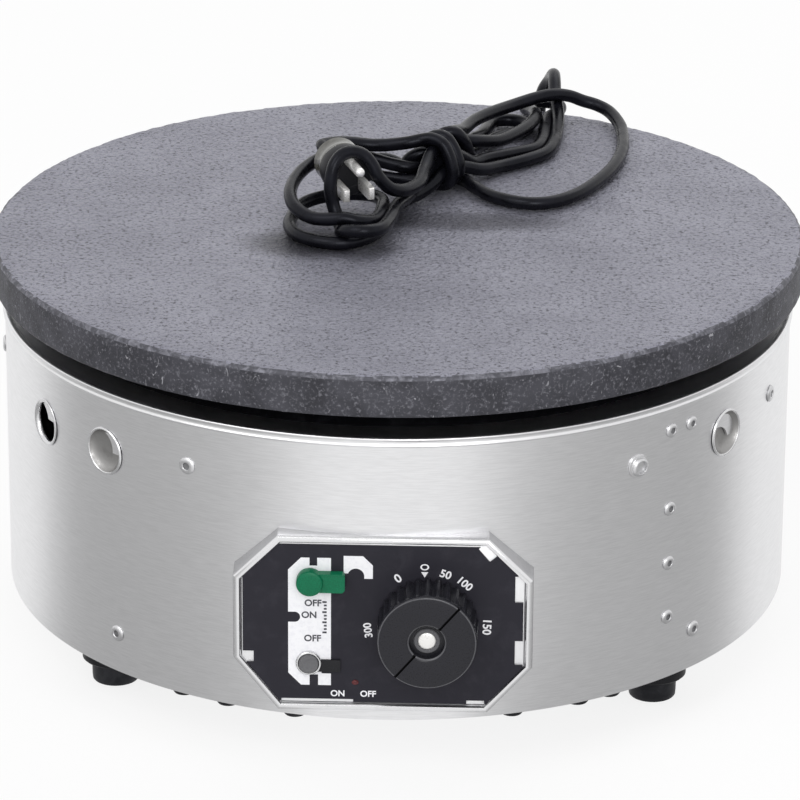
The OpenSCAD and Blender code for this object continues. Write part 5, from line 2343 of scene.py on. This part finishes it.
@dataclass
class Studio:
    """Pale floor, even world, three soft lamps and the camera.

    Attributes:
        distance: Distance of the camera from what it looks at.
        elevation: Its elevation, in degrees.
        azimuth: Its turn from the front towards +X, in degrees.
        roll: Its roll, in degrees.
        aim: What it looks at: across, and up.
        frame: Width of the picture in pixels.
        focal: Focal length of the camera in those pixels.
        fill: Strength of the world's light.
        paper: Strength of the floor where it is seen, and of its dark cards in a mirror.
        lamps: Name, place in metres, side in metres and power in watts of each lamp.
    """

    distance: float = 2573.4
    elevation: float = 21.82
    azimuth: float = 1.75
    roll: float = 0.356
    aim: Pair = (1.4, 108.5)
    frame: float = 800
    focal: float = 5149.5
    fill: float = 0.72
    paper: Pair = (0.82, 0.3)
    lamps: Sequence[tuple[str, Point, float, float]] = (
        ("key_lamp", (-1.3, -1.5, 2.3), 1.6, 17),
        ("front_lamp", (0.5, -2.9, 1.5), 1.4, 24),
        ("back_lamp", (0.7, 1.5, 2.2), 1.6, 9),
    )

    def build(self) -> None:
        """Sets the camera, the floor, the world and the lamps."""
        self.camera()
        self.floor()
        self.world()
        for lamp in self.lamps:
            self.lamp(*lamp)
        bpy.context.scene.view_settings.view_transform = "Standard"

    def camera(self) -> None:
        """Long-lens camera in front of the panel."""
        turn, rise = math.radians(self.azimuth), math.radians(self.elevation)
        back = Vector(
            (math.sin(turn) * math.cos(rise), -math.cos(turn) * math.cos(rise), math.sin(rise))
        )
        right = Vector((math.cos(turn), math.sin(turn), 0))
        up = back.cross(right)
        lean = math.radians(self.roll)
        level = math.cos(lean) * right + math.sin(lean) * up
        upper = -math.sin(lean) * right + math.cos(lean) * up
        data = bpy.data.cameras.new("camera")
        data.sensor_width = 36
        data.lens = self.focal * data.sensor_width / self.frame
        data.clip_end = 20
        camera = linked("camera", data)
        frame = Matrix((level, upper, back)).transposed().to_4x4()
        place = self.aim[0] * right + Vector((0, 0, self.aim[1])) + self.distance * back
        frame.translation = place * MM
        camera.matrix_world = frame
        bpy.context.scene.camera = camera

    def floor(self) -> None:
        """Plain pale floor that keeps the object's soft shadow."""
        deselect()
        bpy.ops.mesh.primitive_plane_add(size=14)
        floor = added("floor")
        graph = Graph("floor_paper")
        grain = graph.noise(60, detail=4)
        base = graph.mix(graph.spread(grain, 0.3, 0.7), (0.8, 0.8, 0.8), (0.82, 0.82, 0.82))
        graph.set(Base_Color=base, Roughness=0.9, Specular_IOR_Level=0.0)
        mirrored = graph.add("ShaderNodeLightPath").outputs["Is Glossy Ray"]
        flag = graph.maths("MULTIPLY", self.side_flags(graph), mirrored)
        glow = graph.add(
            "ShaderNodeEmission",
            {"Color": (1, 1, 1), "Strength": graph.spread(flag, 0, 1, *self.paper)},
        )
        matt = graph.add("ShaderNodeBsdfDiffuse", {"Color": (0.17, 0.17, 0.17)})
        shown = graph.add("ShaderNodeAddShader", {0: glow.outputs[0], 1: matt.outputs[0]})
        both = graph.add(
            "ShaderNodeMixShader",
            {0: graph.background_ray(), 1: graph.shader.outputs[0], 2: shown.outputs[0]},
        )
        output = next(n for n in graph.tree.nodes if n.type == "OUTPUT_MATERIAL")
        graph.feed(output.inputs["Surface"], both.outputs[0])
        floor.data.materials.append(graph.material)

    @staticmethod
    def side_flags(graph: Graph) -> Socket:
        """Dark cards on the floor at both sides, which fan out from the drum.

        Args:
            graph: The floor's graph.

        Returns:
            1 on the cards and 0 elsewhere, with soft edges.
        """
        wide = graph.maths("ABSOLUTE", graph.axis("X"))
        across = graph.maths("MAXIMUM", graph.maths("SUBTRACT", wide, 0.02), 0.01)
        along = graph.maths("ADD", graph.axis("Y"), 0.16)
        fan = graph.maths("DIVIDE", along, across)
        return graph.maths(
            "MULTIPLY", graph.spread(fan, -3.5, 0.6), graph.spread(fan, 0.15, 0.8, 1, 0)
        )

    def world(self) -> None:
        """Even white world, full strength where it is seen or mirrored."""
        world = bpy.data.worlds.new("studio")
        bpy.context.scene.world = world
        world.use_nodes = True
        world.node_tree.nodes.clear()
        tree = Tree(world.node_tree)
        values: dict[Key, Value] = {0: tree.background_ray(), 3: self.fill, 4: 1.0}
        strength = tree.add("ShaderNodeMapRange", values).outputs[0]
        light = tree.add("ShaderNodeBackground", {"Color": (1, 1, 1), "Strength": strength})
        tree.add("ShaderNodeOutputWorld", {"Surface": light.outputs[0]})

    def lamp(self, name: str, at: Point, size: float, power: float) -> None:
        """Square soft lamp turned to the object.

        Args:
            name: The lamp's name.
            at: Its place, in metres.
            size: Its side, in metres.
            power: Its power, in watts.
        """
        data = bpy.data.lights.new(name, "AREA")
        data.size = size
        data.energy = power
        lamp = linked(name, data)
        lamp.location = at
        way = Vector((0, 0, 0.12)) - Vector(at)
        lamp.rotation_euler = way.to_track_quat("-Z", "Y").to_euler()


def dress_frame(frame: dict) -> None:
    """Gives every node that stays its finish, by its slot in the record.
    """
    for row in frame["record"]["subparts"]:
        node = frame["nodes"][row["node"]]
        node.data.materials.clear()
        node.data.materials.append(SLOT_FINISH[row["material_slot"]].material())


def main() -> None:
    """Loads the frame, dresses it and reports each piece."""
    logging.basicConfig(level=logging.INFO, format="%(message)s")
    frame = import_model()
    dress_frame(frame)
    Studio().build()
    MainsCord().build(Plug().build())
    assemblies = (
        Griddle, Drum, Feet, CableOutlet, PanelFrame, FaceSheet, PanelPrint, Knob, Switches,
    )
    for assembly in assemblies:
        assembly().build()


if __name__ == "__main__":
    main()
